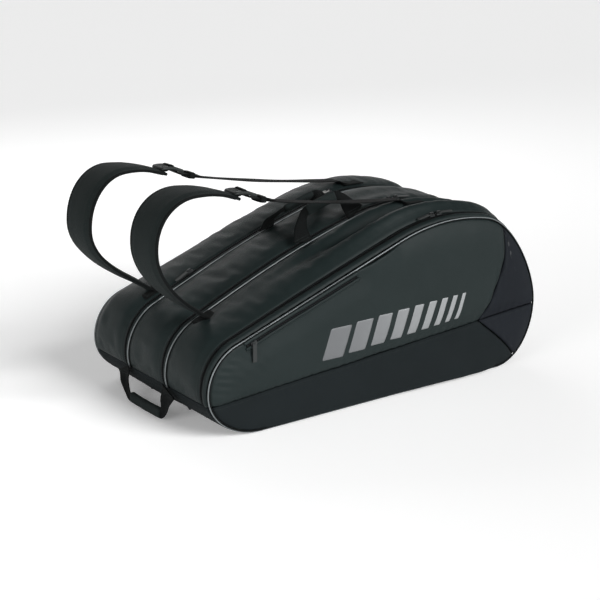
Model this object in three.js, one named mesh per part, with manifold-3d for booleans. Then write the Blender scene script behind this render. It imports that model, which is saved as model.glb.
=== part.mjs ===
// A racket tournament bag: three padded compartments stand side by side on one base tray.
// Each compartment opens along a long zip over its top. Millimetres, +Z up, +X towards the deep
// end, -Y towards the front panel. The origin is the middle of the base, where it meets the floor.

import * as THREE from 'three';
import { mergeVertices } from 'three/addons/utils/BufferGeometryUtils.js';
import Module from 'manifold-3d';

const wasm = await Module();
wasm.setup();

// Overall sizes
const bagLength = 760;
const bagHeight = 318;
const compartmentWidth = 130;

// Side outline, from the narrow end over the crest to the deep end
const noseRadius = 88;
const noseHeight = 87;
const noseRun = 110; // how far the base curls up at the narrow end
const noseCurl = 0.42; // share of the nose's height where that curl turns upright
const crestRadius = 379;
const crestSetback = 215; // crest to the deep end
const shoulderAngle = THREE.MathUtils.degToRad(77);
const shoulderPull = 70;
const deepEndPull = 60;
const deepEndHeight = 122;
const deepEndRun = 95;

// Base tray: the coarse lower shell, whose rim climbs towards the deep end
const trayHeight = 66;
const traySlope = 0.067;
const boardThickness = 3;
const boardMargin = 8;
const boardSetback = 30; // board's ends from where the base starts to curl up

// Fabric and how far it stands proud of the seams
const fabric = 3;
const dividerThickness = 4;
const dividerInset = 8;
const seamBow = 22;
const seamBowLead = 100; // the bow starts this far before the narrow end
const seamBowReach = 780;
const bayPuff = 8;
const puffTaper = 0.12;
const panelBulge = 10;
const lowerPanelBulge = 6;
const panelRim = 0.88; // share of the panel inside its flat rim
const panelRings = [0.35, 0.65, panelRim, 1];
const clearance = 0.3; // gap between pieces that touch

// Piping and zips
const pipingRadius = 2.5;
const chainWidth = 6;
const chainSink = 1;
const chainProud = 1.5;
const frontZipInset = 18; // seam to the middle of the chain
const innerZipInset = 13;
const sliderGap = 0.5;
const sliderPair = 16; // between the two sliders that meet on one zip
const slider = {
  length: 12, width: 9, base: 2.6, corner: 2.5,
  legOut: 4.2, legIn: 2.6, arch: 7.2, bevel: 1, window: 5.8, archWidth: 3,
};
const pull = {
  length: 34, width: 8, thickness: 1.6, corner: 3,
  holeLength: 5.5, holeWidth: 4.2, holeCorner: 0.8, bar: 1.6, droop: 5,
};
const bailHeight = 4.3; // slider's underside to the pull's bar
const slotZip = {
  startX: -302, length: 232, below: 13, stand: 4.5, width: 5, thickness: 1.6,
  post: 1.2, postRise: 2.4, eye: 1.7,
};
const slotPocket = { depth: 90, thickness: 2, corner: 20, shift: 1.2 };
const dividerPocket = {
  length: 300, height: 120, thickness: 6, wall: 1.5, hem: 6, rim: 12, corner: 18, x: 90, z: 110,
};

// Carry handles, one on each inner seam
const handle = {
  middleX: -18, span: 127, height: 57, foot: 38, bar: 16, webbing: 4, gripLength: 66, gripWall: 3,
};
const handleLeg = { tuck: 2, corner: 6, shoulder: 0.6 }; // where a leg meets the bar
const handleSetback = 5; // seam to the middle of the webbing
const handleLift = 4;
const nearHandleLean = 10;
const farHandleLean = 45;

// Haul handle on the narrow end
const haul = { span: 156, drop: 57, foot: 30, bar: 17, webbing: 4, gripLength: 102, gripWall: 3, stand: 4 };
const haulFootHeight = 63;

// Shoulder straps
const pad = {
  width: 86, footWidth: 38, tipWidth: 44, widenTo: 0.3, narrowFrom: 0.75,
  thickness: 10, tipThickness: 5, tipShare: 6,
  footLift: 12,
};
// How the pad leaves its foot, and how far each bend of its curve reaches.
const padBend = {
  leanX: -0.82, leanZ: 0.57, foot: 60, noseIn: 62, noseOut: 52,
  crestIn: 45, crestOut: 35, tip: 32, tipDrop: 0.55,
};
const webbing = { width: 26, thickness: 2.4, sag: 14, gap: 3, drop: 1.2 };
const buckle = { length: 46, rail: 5, thickness: 5, corner: 6, slot: 4, slotCorner: 1, bar: 8, rise: 7 };
const keeper = { length: 12, wall: 2, along: 0.14 };
const strapTab = { length: 30, width: 30, thickness: 3, stand: 1.6 };
const anchorReach = 34;
const nearStrap = { y: -90, foot: -312, nose: [-431, 335], crest: [-350, 420], tip: [-250, 397], anchor: 150 };
const farStrap = { y: 98, foot: -309, nose: [-452, 335], crest: [-375, 430], tip: [-282, 410], anchor: 150 };

// Fineness of the curves
const topSteps = 34;
const baseSteps = 32;
const baySteps = 4;
const padSteps = 26;
const webbingSteps = 10;
const outlineSamples = 360;
const rimSteps = 8;
const normalReach = 2; // half the length over which the outline's direction is read
const slopeReach = 2; // fine places on each side over which the top's slope is read
const sweepSides = 6;
const cornerSteps = 4;
const smallSteps = 3;
const slotSteps = 2;
const pullSteps = 5;
const postSides = 10;

const halfDepth = 1.5 * compartmentWidth;
const nearSeam = -0.5 * compartmentWidth;
const farSeam = 0.5 * compartmentWidth;
const noseX = -bagLength / 2;
const deepX = bagLength / 2;
const crestX = deepX - crestSetback;
const group = new THREE.Group();

const finishes = {
  body: { color: 0x23292a, roughness: 0.55, metalness: 0 },
  tray: { color: 0x1b2123, roughness: 0.75, metalness: 0 },
  lining: { color: 0x303436, roughness: 0.85, metalness: 0 },
  board: { color: 0x3a3a38, roughness: 0.7, metalness: 0 },
  piping: { color: 0x9fa3a4, roughness: 0.35, metalness: 0.2 },
  zip: { color: 0x15181a, roughness: 0.45, metalness: 0 },
  hardware: { color: 0x1c1f21, roughness: 0.35, metalness: 0.6 },
  webbing: { color: 0x1a1c1e, roughness: 0.8, metalness: 0 },
  padding: { color: 0x25292b, roughness: 0.8, metalness: 0 },
  plastic: { color: 0x1d2022, roughness: 0.3, metalness: 0 },
};

function addMesh(name, geometry, finish, parent = group) {
  const mesh = new THREE.Mesh(geometry, new THREE.MeshStandardMaterial(finishes[finish]));
  mesh.name = name;
  parent.add(mesh);
  return mesh;
}

// ---- Geometry helpers

function closedGeometry(positions, triangles) {
  let volume = 0;
  for (let i = 0; i < triangles.length; i += 3) {
    const [a, b, c] = [0, 1, 2].map((k) => new THREE.Vector3(...positions[triangles[i + k]]));
    volume += a.dot(b.cross(c));
  }
  const faces = volume > 0 ? triangles : [...triangles].reverse();
  const geometry = new THREE.BufferGeometry();
  geometry.setAttribute('position', new THREE.Float32BufferAttribute(positions.flat(), 3));
  geometry.setIndex(faces);
  geometry.computeVertexNormals();
  return geometry;
}

// Carries a section, a list of [across, out] pairs, along a list of places.
function sweep(places, sectionAt, toWorld) {
  const rings = places.map((place, i) => sectionAt(place, i));
  const count = rings[0].length;
  const positions = rings.flatMap((ring, i) => ring.map((point) => toWorld(places[i], point)));
  const triangles = [];
  for (let i = 0; i + 1 < rings.length; i++) {
    for (let k = 0; k < count; k++) {
      const a = i * count + k;
      const b = i * count + ((k + 1) % count);
      triangles.push(a, b, a + count, b, b + count, a + count);
    }
  }
  const last = (rings.length - 1) * count;
  const capOf = (ring) => THREE.ShapeUtils.triangulateShape(ring.map((p) => new THREE.Vector2(...p)), []);
  for (const [a, b, c] of capOf(rings[0])) triangles.push(...orderCap(rings[0], a, b, c, false));
  for (const [a, b, c] of capOf(rings[rings.length - 1])) {
    triangles.push(...orderCap(rings[rings.length - 1], a, b, c, true).map((k) => k + last));
  }
  return closedGeometry(positions, triangles);
}

// Turns a cap's triangle the same way as the walls that it closes.
function orderCap(ring, a, b, c, far) {
  const turns = THREE.ShapeUtils.isClockWise(ring.map((p) => new THREE.Vector2(...p)));
  const corners = [a, b, c].map((k) => new THREE.Vector2(...ring[k]));
  const same = THREE.ShapeUtils.isClockWise(corners) === turns;
  const along = same ? [a, b, c] : [a, c, b];
  return far ? along : along.reverse();
}

function round(middleY, middleOut, radius) {
  return Array.from({ length: sweepSides }, (_, k) => {
    const angle = (2 * Math.PI * k) / sweepSides;
    return [middleY + radius * Math.cos(angle), middleOut + radius * Math.sin(angle)];
  });
}

function box(y0, y1, out0, out1) {
  return [[y0, out0], [y1, out0], [y1, out1], [y0, out1]];
}

function toSolid(geometry) {
  const bare = geometry.clone();
  bare.deleteAttribute('normal');
  bare.deleteAttribute('uv');
  const merged = mergeVertices(bare, 1e-4);
  const vertProperties = new Float32Array(merged.attributes.position.array);
  const triVerts = new Uint32Array(merged.index.array);
  return new wasm.Manifold(new wasm.Mesh({ numProp: 3, vertProperties, triVerts }));
}

function fromSolid(solid) {
  const mesh = solid.getMesh();
  const geometry = new THREE.BufferGeometry();
  geometry.setAttribute('position', new THREE.Float32BufferAttribute(mesh.vertProperties, 3));
  geometry.setIndex([...mesh.triVerts]);
  return geometry;
}

function join(...geometries) {
  return fromSolid(geometries.map(toSolid).reduce((whole, piece) => whole.add(piece)));
}

function block(x, y, z, centre = [0, 0, 0]) {
  return new THREE.BoxGeometry(x, y, z).translate(...centre);
}

function roundedPlate(length, width, radius) {
  const [x, y] = [length / 2, width / 2];
  const shape = new THREE.Shape();
  shape.moveTo(-x + radius, -y);
  shape.lineTo(x - radius, -y);
  shape.absarc(x - radius, -y + radius, radius, -Math.PI / 2, 0);
  shape.absarc(x - radius, y - radius, radius, 0, Math.PI / 2);
  shape.absarc(-x + radius, y - radius, radius, Math.PI / 2, Math.PI);
  shape.absarc(-x + radius, -y + radius, radius, Math.PI, 1.5 * Math.PI);
  return shape;
}

// ---- Side outline

function sideOutline() {
  const nose = new THREE.Vector2(noseX + noseRadius, noseHeight);
  const crest = new THREE.Vector2(crestX, bagHeight - crestRadius);
  const between = crest.clone().sub(nose);
  // The straight top is the line that touches both circles.
  const rise = between.angle() + Math.acos((noseRadius - crestRadius) / between.length());
  const shoulder = [Math.cos(shoulderAngle), Math.sin(shoulderAngle)];
  const shoulderX = crest.x + crestRadius * shoulder[0];
  const shoulderZ = crest.y + crestRadius * shoulder[1];
  const path = new THREE.Path();
  path.moveTo(noseX, noseHeight);
  path.absarc(nose.x, nose.y, noseRadius, Math.PI, rise, true);
  path.absarc(crest.x, crest.y, crestRadius, rise, shoulderAngle, true);
  path.bezierCurveTo(
    shoulderX + shoulderPull * shoulder[1], shoulderZ - shoulderPull * shoulder[0],
    deepX, deepEndHeight + deepEndPull, deepX, deepEndHeight,
  );
  path.absellipse(deepX - deepEndRun, deepEndHeight, deepEndRun, deepEndHeight, 0, -Math.PI / 2, true);
  path.lineTo(noseX + noseRun, 0);
  path.bezierCurveTo(noseX + noseRun / 2, 0, noseX, noseHeight * noseCurl, noseX, noseHeight);
  return path.getSpacedPoints(outlineSamples).slice(0, outlineSamples);
}

function trayRim(x) {
  return trayHeight + traySlope * (x - noseX);
}

// Cuts the outline at the tray's rim, into the part above it and the part below it.
function splitOutline(points) {
  const above = points.map((p) => p.y > trayRim(p.x));
  const cross = (i) => {
    const [p, q] = [points[i], points[(i + 1) % points.length]];
    const [a, b] = [p.y - trayRim(p.x), q.y - trayRim(q.x)];
    return p.clone().lerp(q, a / (a - b));
  };
  const leave = above.findIndex((up, i) => up && !above[(i + 1) % points.length]);
  const back = above.findIndex((up, i) => !up && above[(i + 1) % points.length]);
  const run = (from, to) => {
    const list = [cross(from)];
    for (let i = (from + 1) % points.length; i !== (to + 1) % points.length; i = (i + 1) % points.length) {
      list.push(points[i]);
    }
    return [...list, cross(to)];
  };
  return { upper: run(back, leave), lower: run(leave, back) };
}

// Even places along a line of points, each with its outward normal and its share of the way.
function evenPlaces(points, steps, trim) {
  const lengths = [0];
  for (let i = 1; i < points.length; i++) lengths.push(lengths[i - 1] + points[i].distanceTo(points[i - 1]));
  const total = lengths[lengths.length - 1];
  const at = (distance) => {
    const d = THREE.MathUtils.clamp(distance, 0, total);
    const i = Math.max(1, lengths.findIndex((length) => length >= d));
    return points[i - 1].clone().lerp(points[i], (d - lengths[i - 1]) / (lengths[i] - lengths[i - 1]));
  };
  return Array.from({ length: steps + 1 }, (_, k) => {
    const t = k / steps;
    const d = trim + t * (total - 2 * trim);
    const p = at(d);
    const way = at(d + normalReach).sub(at(d - normalReach)).normalize();
    return { x: p.x, z: p.y, nx: -way.y, nz: way.x, t };
  });
}

const { upper, lower } = splitOutline(sideOutline());
const topPlaces = evenPlaces(upper, topSteps, clearance);
const finePlaces = evenPlaces(upper, outlineSamples, clearance);
const basePlaces = evenPlaces(lower, baseSteps, clearance);

// How far the top stands out from the side outline: the seams bow up towards the middle of the
// bag and each compartment puffs up between its seams.
function crown(place, y) {
  const taper = Math.min(1, place.t / puffTaper, (1 - place.t) / puffTaper);
  const across = 1 - (y / halfDepth) ** 2;
  const reach = THREE.MathUtils.clamp((place.x - noseX + seamBowLead) / seamBowReach, 0, 1);
  const along = Math.sin(Math.PI * reach) ** 2;
  const bay = THREE.MathUtils.euclideanModulo(y + halfDepth, compartmentWidth) / compartmentWidth;
  return taper * (seamBow * across * along + bayPuff * 4 * bay * (1 - bay));
}

function onOutline(place, [y, out]) {
  return [place.x + place.nx * out, y, place.z + place.nz * out];
}

// The place on the bag's top at a distance x along the bag and y across it.
function topAt(x, y) {
  const onTop = ({ x: px, z: pz, nx, nz }, out) => new THREE.Vector2(px + nx * out, pz + nz * out);
  const tops = finePlaces.map((place) => onTop(place, crown(place, y)));
  const after = tops.findIndex((top, i) => finePlaces[i].t > puffTaper && top.x >= x);
  const [low, high] = [tops[after - 1], tops[after]];
  const at = low.clone().lerp(high, (x - low.x) / (high.x - low.x));
  const way = tops[after - 1 + slopeReach].clone().sub(tops[after - slopeReach]);
  return { x: at.x, z: at.y, slope: Math.atan2(way.y, way.x) };
}

// ---- Fabric shell

function gusset(y0, y1) {
  const ys = Array.from({ length: baySteps + 1 }, (_, k) => THREE.MathUtils.lerp(y0, y1, k / baySteps));
  const section = (place) => [
    ...ys.map((y) => [y, crown(place, y)]),
    ...[...ys].reverse().map((y) => [y, crown(place, y) - fabric]),
  ];
  return sweep(topPlaces, section, onOutline);
}

function strip(y0, y1) {
  const section = (place) => [
    [y0, crown(place, y0) - fabric], [y1, crown(place, y1) - fabric],
    [y1, crown(place, y1)], [y0, crown(place, y0)],
  ];
  return sweep(topPlaces, section, onOutline);
}

function zipChain(y) {
  const half = chainWidth / 2;
  const section = (place) => {
    const out = crown(place, y);
    return box(y - half, y + half, out - chainSink, out + chainProud);
  };
  return sweep(topPlaces, section, onOutline);
}

function seamPiping(y) {
  const out = pipingRadius + clearance;
  return sweep(topPlaces, (place) => round(y, crown(place, y) + out, pipingRadius), onOutline);
}

function edgePiping(places, side) {
  const y = side * (halfDepth + pipingRadius + clearance);
  return sweep(places, () => round(y, -pipingRadius - clearance, pipingRadius), onOutline);
}

// A side panel that swells outwards from its edge to its middle.
function crownedPanel(edge, side, bulge) {
  const rings = panelRings.length;
  const middle = edge.reduce((sum, p) => sum.add(p), new THREE.Vector2()).divideScalar(edge.length);
  const skin = (outer) => {
    const points = [];
    for (const share of panelRings) {
      const swell = bulge * Math.max(0, 1 - (share / panelRim) ** 2) ** 1.5;
      for (const p of edge) {
        const at = middle.clone().lerp(p, share);
        points.push([at.x, side * (halfDepth + swell - (outer ? 0 : fabric)), at.y]);
      }
    }
    points.push([middle.x, side * (halfDepth + bulge - (outer ? 0 : fabric)), middle.y]);
    return points;
  };
  const count = edge.length;
  const offset = rings * count + 1;
  const triangles = [];
  for (let k = 0; k < count; k++) {
    const next = (k + 1) % count;
    triangles.push(offset - 1, k, next, 2 * offset - 1, next + offset, k + offset);
    for (let r = 1; r < rings; r++) {
      const [a, b, c, d] = [(r - 1) * count + k, (r - 1) * count + next, r * count + k, r * count + next];
      triangles.push(a, c, d, a, d, b);
      triangles.push(a + offset, d + offset, c + offset, a + offset, b + offset, d + offset);
    }
    const [p, q] = [(rings - 1) * count + k, (rings - 1) * count + next];
    triangles.push(p, p + offset, q, q, p + offset, q + offset);
  }
  return closedGeometry([...skin(true), ...skin(false)], triangles);
}

// The edge of a side panel: the outline on one side of the tray's rim, closed along the rim.
function panelEdge(places, lift) {
  const edge = places.map((p) => new THREE.Vector2(p.x, p.z));
  const [from, to] = [edge[edge.length - 1], edge[0]];
  const rim = Array.from({ length: rimSteps - 1 }, (_, k) => {
    const x = THREE.MathUtils.lerp(from.x, to.x, (k + 1) / rimSteps);
    return new THREE.Vector2(x, trayRim(x) + lift);
  });
  return [...edge, ...rim];
}

function divider(seam, side) {
  const y = seam + side * (clearance + dividerThickness / 2);
  const inside = (places, out) => places.map((p) => {
    return new THREE.Vector2(p.x + p.nx * out(p), p.z + p.nz * out(p));
  });
  const top = inside(topPlaces, (p) => crown(p, seam) - fabric - clearance);
  const bottom = inside(basePlaces, () => -dividerInset);
  const sheet = new THREE.ExtrudeGeometry(new THREE.Shape([...top, ...bottom]), {
    depth: dividerThickness, bevelEnabled: false,
  });
  return sheet.rotateX(Math.PI / 2).translate(0, y + dividerThickness / 2, 0);
}

function buildTray() {
  const wall = halfDepth - fabric - clearance;
  const basePanel = sweep(basePlaces, () => box(-wall, wall, -fabric, 0), onOutline);
  addMesh('base_panel', basePanel, 'tray');
  addMesh('front_lower_panel', crownedPanel(panelEdge(basePlaces, -clearance), -1, lowerPanelBulge), 'tray');
  addMesh('rear_lower_panel', crownedPanel(panelEdge(basePlaces, -clearance), 1, lowerPanelBulge), 'tray');
  addMesh('front_lower_piping', edgePiping(basePlaces, -1), 'piping');
  addMesh('rear_lower_piping', edgePiping(basePlaces, 1), 'piping');
  const flatLength = bagLength - noseRun - deepEndRun - 2 * boardSetback;
  const flatWidth = 2 * (wall - boardMargin);
  const board = new THREE.ExtrudeGeometry(roundedPlate(flatLength, flatWidth, 4 * boardMargin), {
    depth: boardThickness, bevelEnabled: false, curveSegments: cornerSteps,
  });
  addMesh('base_board', board.translate((noseRun - deepEndRun) / 2, 0, fabric + clearance), 'board');
}

function buildCompartments() {
  const edgeY = halfDepth - fabric - clearance; // gussets start behind the side panels
  const nearZip = -halfDepth + frontZipInset;
  const middleZip = nearSeam + innerZipInset;
  const farZip = farSeam + innerZipInset;
  const beside = chainWidth / 2 + clearance;

  addMesh('front_panel', crownedPanel(panelEdge(topPlaces, clearance), -1, panelBulge), 'body');
  addMesh('front_zip_strip', strip(-edgeY, nearZip - beside), 'body');
  addMesh('front_piping', edgePiping(topPlaces, -1), 'piping');

  addMesh('near_zip_chain', zipChain(nearZip), 'zip');
  addMesh('near_gusset', gusset(nearZip + beside, nearSeam - clearance / 2), 'body');
  addMesh('near_divider', divider(nearSeam, -1), 'lining');
  addMesh('middle_piping', seamPiping(nearSeam), 'piping');
  addMesh('middle_zip_strip', strip(nearSeam + clearance / 2, middleZip - beside), 'body');

  addMesh('middle_zip_chain', zipChain(middleZip), 'zip');
  addMesh('middle_gusset', gusset(middleZip + beside, farSeam - clearance / 2), 'body');
  addMesh('far_divider', divider(farSeam, -1), 'lining');
  addMesh('far_piping', seamPiping(farSeam), 'piping');
  addMesh('far_zip_strip', strip(farSeam + clearance / 2, farZip - beside), 'body');

  addMesh('far_zip_chain', zipChain(farZip), 'zip');
  addMesh('far_gusset', gusset(farZip + beside, edgeY), 'body');
  addMesh('rear_panel', crownedPanel(panelEdge(topPlaces, clearance), 1, panelBulge), 'body');
  addMesh('rear_piping', edgePiping(topPlaces, 1), 'piping');
}

// A flat pocket on the near divider, for small things.
function buildDividerPocket() {
  const { length, height, thickness, wall, hem, rim, corner, x, z } = dividerPocket;
  const y = nearSeam - clearance - dividerThickness - clearance;
  const sheet = new THREE.ExtrudeGeometry(roundedPlate(length, height, corner), {
    depth: thickness, bevelEnabled: false, curveSegments: cornerSteps,
  });
  const mouth = block(length - 2 * hem, height, thickness - 2 * wall, [0, rim, thickness / 2]);
  const bag = fromSolid(toSolid(sheet).subtract(toSolid(mouth)));
  addMesh('divider_pocket', bag.rotateX(Math.PI / 2).translate(x, y, z), 'lining');
}

// ---- Zip sliders and pulls

function sliderBody() {
  const { length, width, base, corner, legOut, legIn, arch, bevel, window, archWidth } = slider;
  const plate = new THREE.ExtrudeGeometry(roundedPlate(length, width, corner), {
    depth: base, bevelEnabled: false, curveSegments: smallSteps,
  });
  const bail = new THREE.Shape([
    [-legOut, base / 2], [-legIn, base / 2], [-legIn, window], [legIn, window], [legIn, base / 2],
    [legOut, base / 2], [legOut, arch - bevel], [legOut - bevel, arch],
    [bevel - legOut, arch], [-legOut, arch - bevel],
  ].map((p) => new THREE.Vector2(...p)));
  const bridge = new THREE.ExtrudeGeometry(bail, { depth: archWidth, bevelEnabled: false });
  bridge.rotateX(Math.PI / 2).translate(0, archWidth / 2, 0);
  return join(plate, bridge);
}

// A pull that reaches towards -X from its bar, with a hole for the slider's bridge.
function pullTab() {
  const { length, width, thickness, corner, holeLength, holeWidth, holeCorner, bar } = pull;
  const shape = roundedPlate(length, width, corner);
  const hole = roundedPlate(holeLength, holeWidth, holeCorner);
  const slot = new THREE.Path(hole.getPoints(smallSteps).map((p) => {
    return new THREE.Vector2(p.x + length / 2 - bar - holeLength / 2, p.y);
  }));
  shape.holes.push(slot);
  const tab = new THREE.ExtrudeGeometry(shape, {
    depth: thickness, bevelEnabled: false, curveSegments: smallSteps,
  });
  return tab.translate(bar / 2 - length / 2, 0, -thickness / 2);
}

// One slider with its pull on a top zip. side is -1 for a pull that points to the narrow end.
function addSlider(name, x, y, side) {
  const place = topAt(x, y);
  const out = chainProud + sliderGap;
  const carrier = new THREE.Group();
  carrier.position.set(place.x - Math.sin(place.slope) * out, y, place.z + Math.cos(place.slope) * out);
  carrier.rotation.y = -place.slope;
  addMesh(`${name}_slider`, sliderBody(), 'hardware', carrier);
  const tab = addMesh(`${name}_pull`, pullTab(), 'plastic', carrier);
  tab.position.z = bailHeight;
  tab.rotation.set(0, -THREE.MathUtils.degToRad(pull.droop), side < 0 ? 0 : Math.PI, 'ZYX');
  group.add(carrier);
}

// The slot pocket's zip lies just under the front panel's top edge, along its straight stretch.
function buildSlotPocket() {
  const start = topAt(slotZip.startX, -halfDepth);
  const end = topAt(slotZip.startX + slotZip.length, -halfDepth);
  const slope = Math.atan2(end.z - start.z, end.x - start.x);
  const run = Math.hypot(end.z - start.z, end.x - start.x);
  const face = -halfDepth - slotZip.stand;
  const carrier = new THREE.Group();
  carrier.position.set(
    start.x + Math.sin(slope) * slotZip.below, face, start.z - Math.cos(slope) * slotZip.below,
  );
  carrier.rotation.y = -slope;
  const chain = block(run, slotZip.thickness, slotZip.width, [run / 2, -slotZip.thickness / 2, 0]);
  addMesh('slot_zip_chain', chain, 'zip', carrier);

  const { length, width, base, corner } = slider;
  const body = new THREE.ExtrudeGeometry(roundedPlate(length, width, corner), {
    depth: base, bevelEnabled: false, curveSegments: smallSteps,
  });
  const post = new THREE.CylinderGeometry(slotZip.post, slotZip.post, base + slotZip.postRise, postSides);
  post.rotateX(Math.PI / 2).translate(0, 0, (base + slotZip.postRise) / 2);
  const slotSlider = addMesh('slot_zip_slider', join(body, post), 'hardware', carrier);
  slotSlider.rotation.x = Math.PI / 2;
  slotSlider.position.set(length, -slotZip.thickness - sliderGap, 0);

  const eye = new THREE.Path();
  eye.absarc(0, 0, slotZip.eye, 0, 2 * Math.PI);
  const shape = new THREE.Shape();
  const half = pull.width / 2;
  shape.moveTo(half, 0);
  shape.absarc(0, 0, half, 0, Math.PI);
  shape.lineTo(-half, -pull.length);
  shape.lineTo(half, -pull.length);
  shape.holes.push(eye);
  const tab = new THREE.ExtrudeGeometry(shape, {
    depth: pull.thickness, bevelEnabled: false, curveSegments: pullSteps,
  });
  const slotPull = addMesh('slot_zip_pull', tab.rotateX(Math.PI / 2), 'plastic', carrier);
  slotPull.position.set(length, -slotZip.thickness - sliderGap - base - clearance, 0);
  slotPull.rotation.y = slope;
  group.add(carrier);

  const bag = new THREE.ExtrudeGeometry(roundedPlate(run, slotPocket.depth, slotPocket.corner), {
    depth: slotPocket.thickness, bevelEnabled: false, curveSegments: cornerSteps,
  });
  const pouchCarrier = new THREE.Group();
  const middle = new THREE.Vector2(run / 2, -slotPocket.depth / 2 - slotZip.below).rotateAround(
    new THREE.Vector2(), slope,
  );
  const behind = -halfDepth + fabric + clearance;
  pouchCarrier.position.set(start.x + middle.x + slotPocket.shift, behind, start.z + middle.y);
  pouchCarrier.rotation.set(-Math.PI / 2, -slope, 0, 'YXZ');
  addMesh('slot_pocket', bag, 'lining', pouchCarrier);
  group.add(pouchCarrier);
}

// ---- Handles

// A flat webbing loop: wide feet, sloping legs and a straight bar at the top, in the XZ plane.
function webbingLoop({ span, height, foot, bar, webbing: thick, gripLength }) {
  const footOut = span / 2 + foot / 2;
  const footIn = span / 2 - foot / 2;
  const barIn = gripLength / 2 + handleLeg.tuck;
  const barOut = gripLength / 2 + bar;
  const shoulder = height - bar * handleLeg.shoulder;
  const half = [
    [footIn, 0], [footOut, 0], [barOut + handleLeg.corner, shoulder], [barOut - handleLeg.corner, height],
  ];
  const inner = [[-barIn, height - bar], [barIn, height - bar]];
  const outline = [...inner, ...half, ...half.map(([x, z]) => [-x, z]).reverse()];
  const shape = new THREE.Shape(outline.map((p) => new THREE.Vector2(...p)));
  const loop = new THREE.ExtrudeGeometry(shape, { depth: thick, bevelEnabled: false });
  return loop.rotateX(Math.PI / 2).translate(0, thick / 2, 0);
}

// A sleeve round the loop's bar.
function gripSleeve({ height, bar, webbing: thick, gripLength, gripWall }) {
  const inner = { tall: bar + 2 * clearance, deep: thick + 2 * clearance };
  const shape = roundedPlate(inner.tall + 2 * gripWall, inner.deep + 2 * gripWall, gripWall);
  const hole = [[-1, -1], [-1, 1], [1, 1], [1, -1]].map(([a, b]) => {
    return new THREE.Vector2((a * inner.tall) / 2, (b * inner.deep) / 2);
  });
  shape.holes.push(new THREE.Path(hole));
  const sleeve = new THREE.ExtrudeGeometry(shape, {
    depth: gripLength, bevelEnabled: false, curveSegments: smallSteps,
  });
  return sleeve.rotateY(-Math.PI / 2).translate(gripLength / 2, 0, height - bar / 2);
}

function addCarryHandle(name, y, lean) {
  const feet = [-1, 1].map((side) => topAt(handle.middleX + (side * handle.span) / 2, y));
  const slope = Math.atan2(feet[1].z - feet[0].z, feet[1].x - feet[0].x);
  const carrier = new THREE.Group();
  carrier.position.set((feet[0].x + feet[1].x) / 2, y, (feet[0].z + feet[1].z) / 2 + handleLift);
  carrier.rotation.set(-THREE.MathUtils.degToRad(lean), -slope, 0, 'YXZ');
  addMesh(`${name}_webbing`, webbingLoop(handle), 'webbing', carrier);
  addMesh(`${name}_grip`, gripSleeve(handle), 'padding', carrier);
  group.add(carrier);
}

function addHaulHandle() {
  const carrier = new THREE.Group();
  carrier.position.set(noseX - haul.stand, 0, haulFootHeight);
  carrier.rotation.set(0, Math.PI, Math.PI / 2, 'ZYX');
  const loop = { ...haul, height: haul.drop };
  addMesh('haul_handle_webbing', webbingLoop(loop), 'webbing', carrier);
  addMesh('haul_handle_grip', gripSleeve(loop), 'padding', carrier);
  group.add(carrier);
}

// ---- Shoulder straps

function inPlane(curve, steps) {
  return Array.from({ length: steps + 1 }, (_, k) => {
    const p = curve.getPointAt(k / steps);
    const way = curve.getTangentAt(k / steps);
    return { x: p.x, z: p.y, nx: -way.y, nz: way.x, t: k / steps };
  });
}

function padCurve(strap) {
  const foot = topAt(strap.foot, strap.y);
  const { leanX, leanZ } = padBend;
  const start = new THREE.Vector2(foot.x + leanX * pad.footLift, foot.z + pad.footLift);
  const nose = new THREE.Vector2(...strap.nose);
  const crest = new THREE.Vector2(...strap.crest);
  const tip = new THREE.Vector2(...strap.tip);
  const drop = (tip.y - crest.y) * padBend.tipDrop;
  const away = (point, x, z) => new THREE.Vector2(point.x + x, point.y + z);
  const curve = new THREE.CurvePath();
  curve.add(new THREE.CubicBezierCurve(
    start, away(start, padBend.foot * leanX, padBend.foot * leanZ), away(nose, 0, -padBend.noseIn), nose,
  ));
  curve.add(new THREE.CubicBezierCurve(
    nose, away(nose, 0, padBend.noseOut), away(crest, -padBend.crestIn, 0), crest,
  ));
  curve.add(new THREE.CubicBezierCurve(
    crest, away(crest, padBend.crestOut, 0), away(tip, -padBend.tip, -drop), tip,
  ));
  return curve;
}

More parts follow.
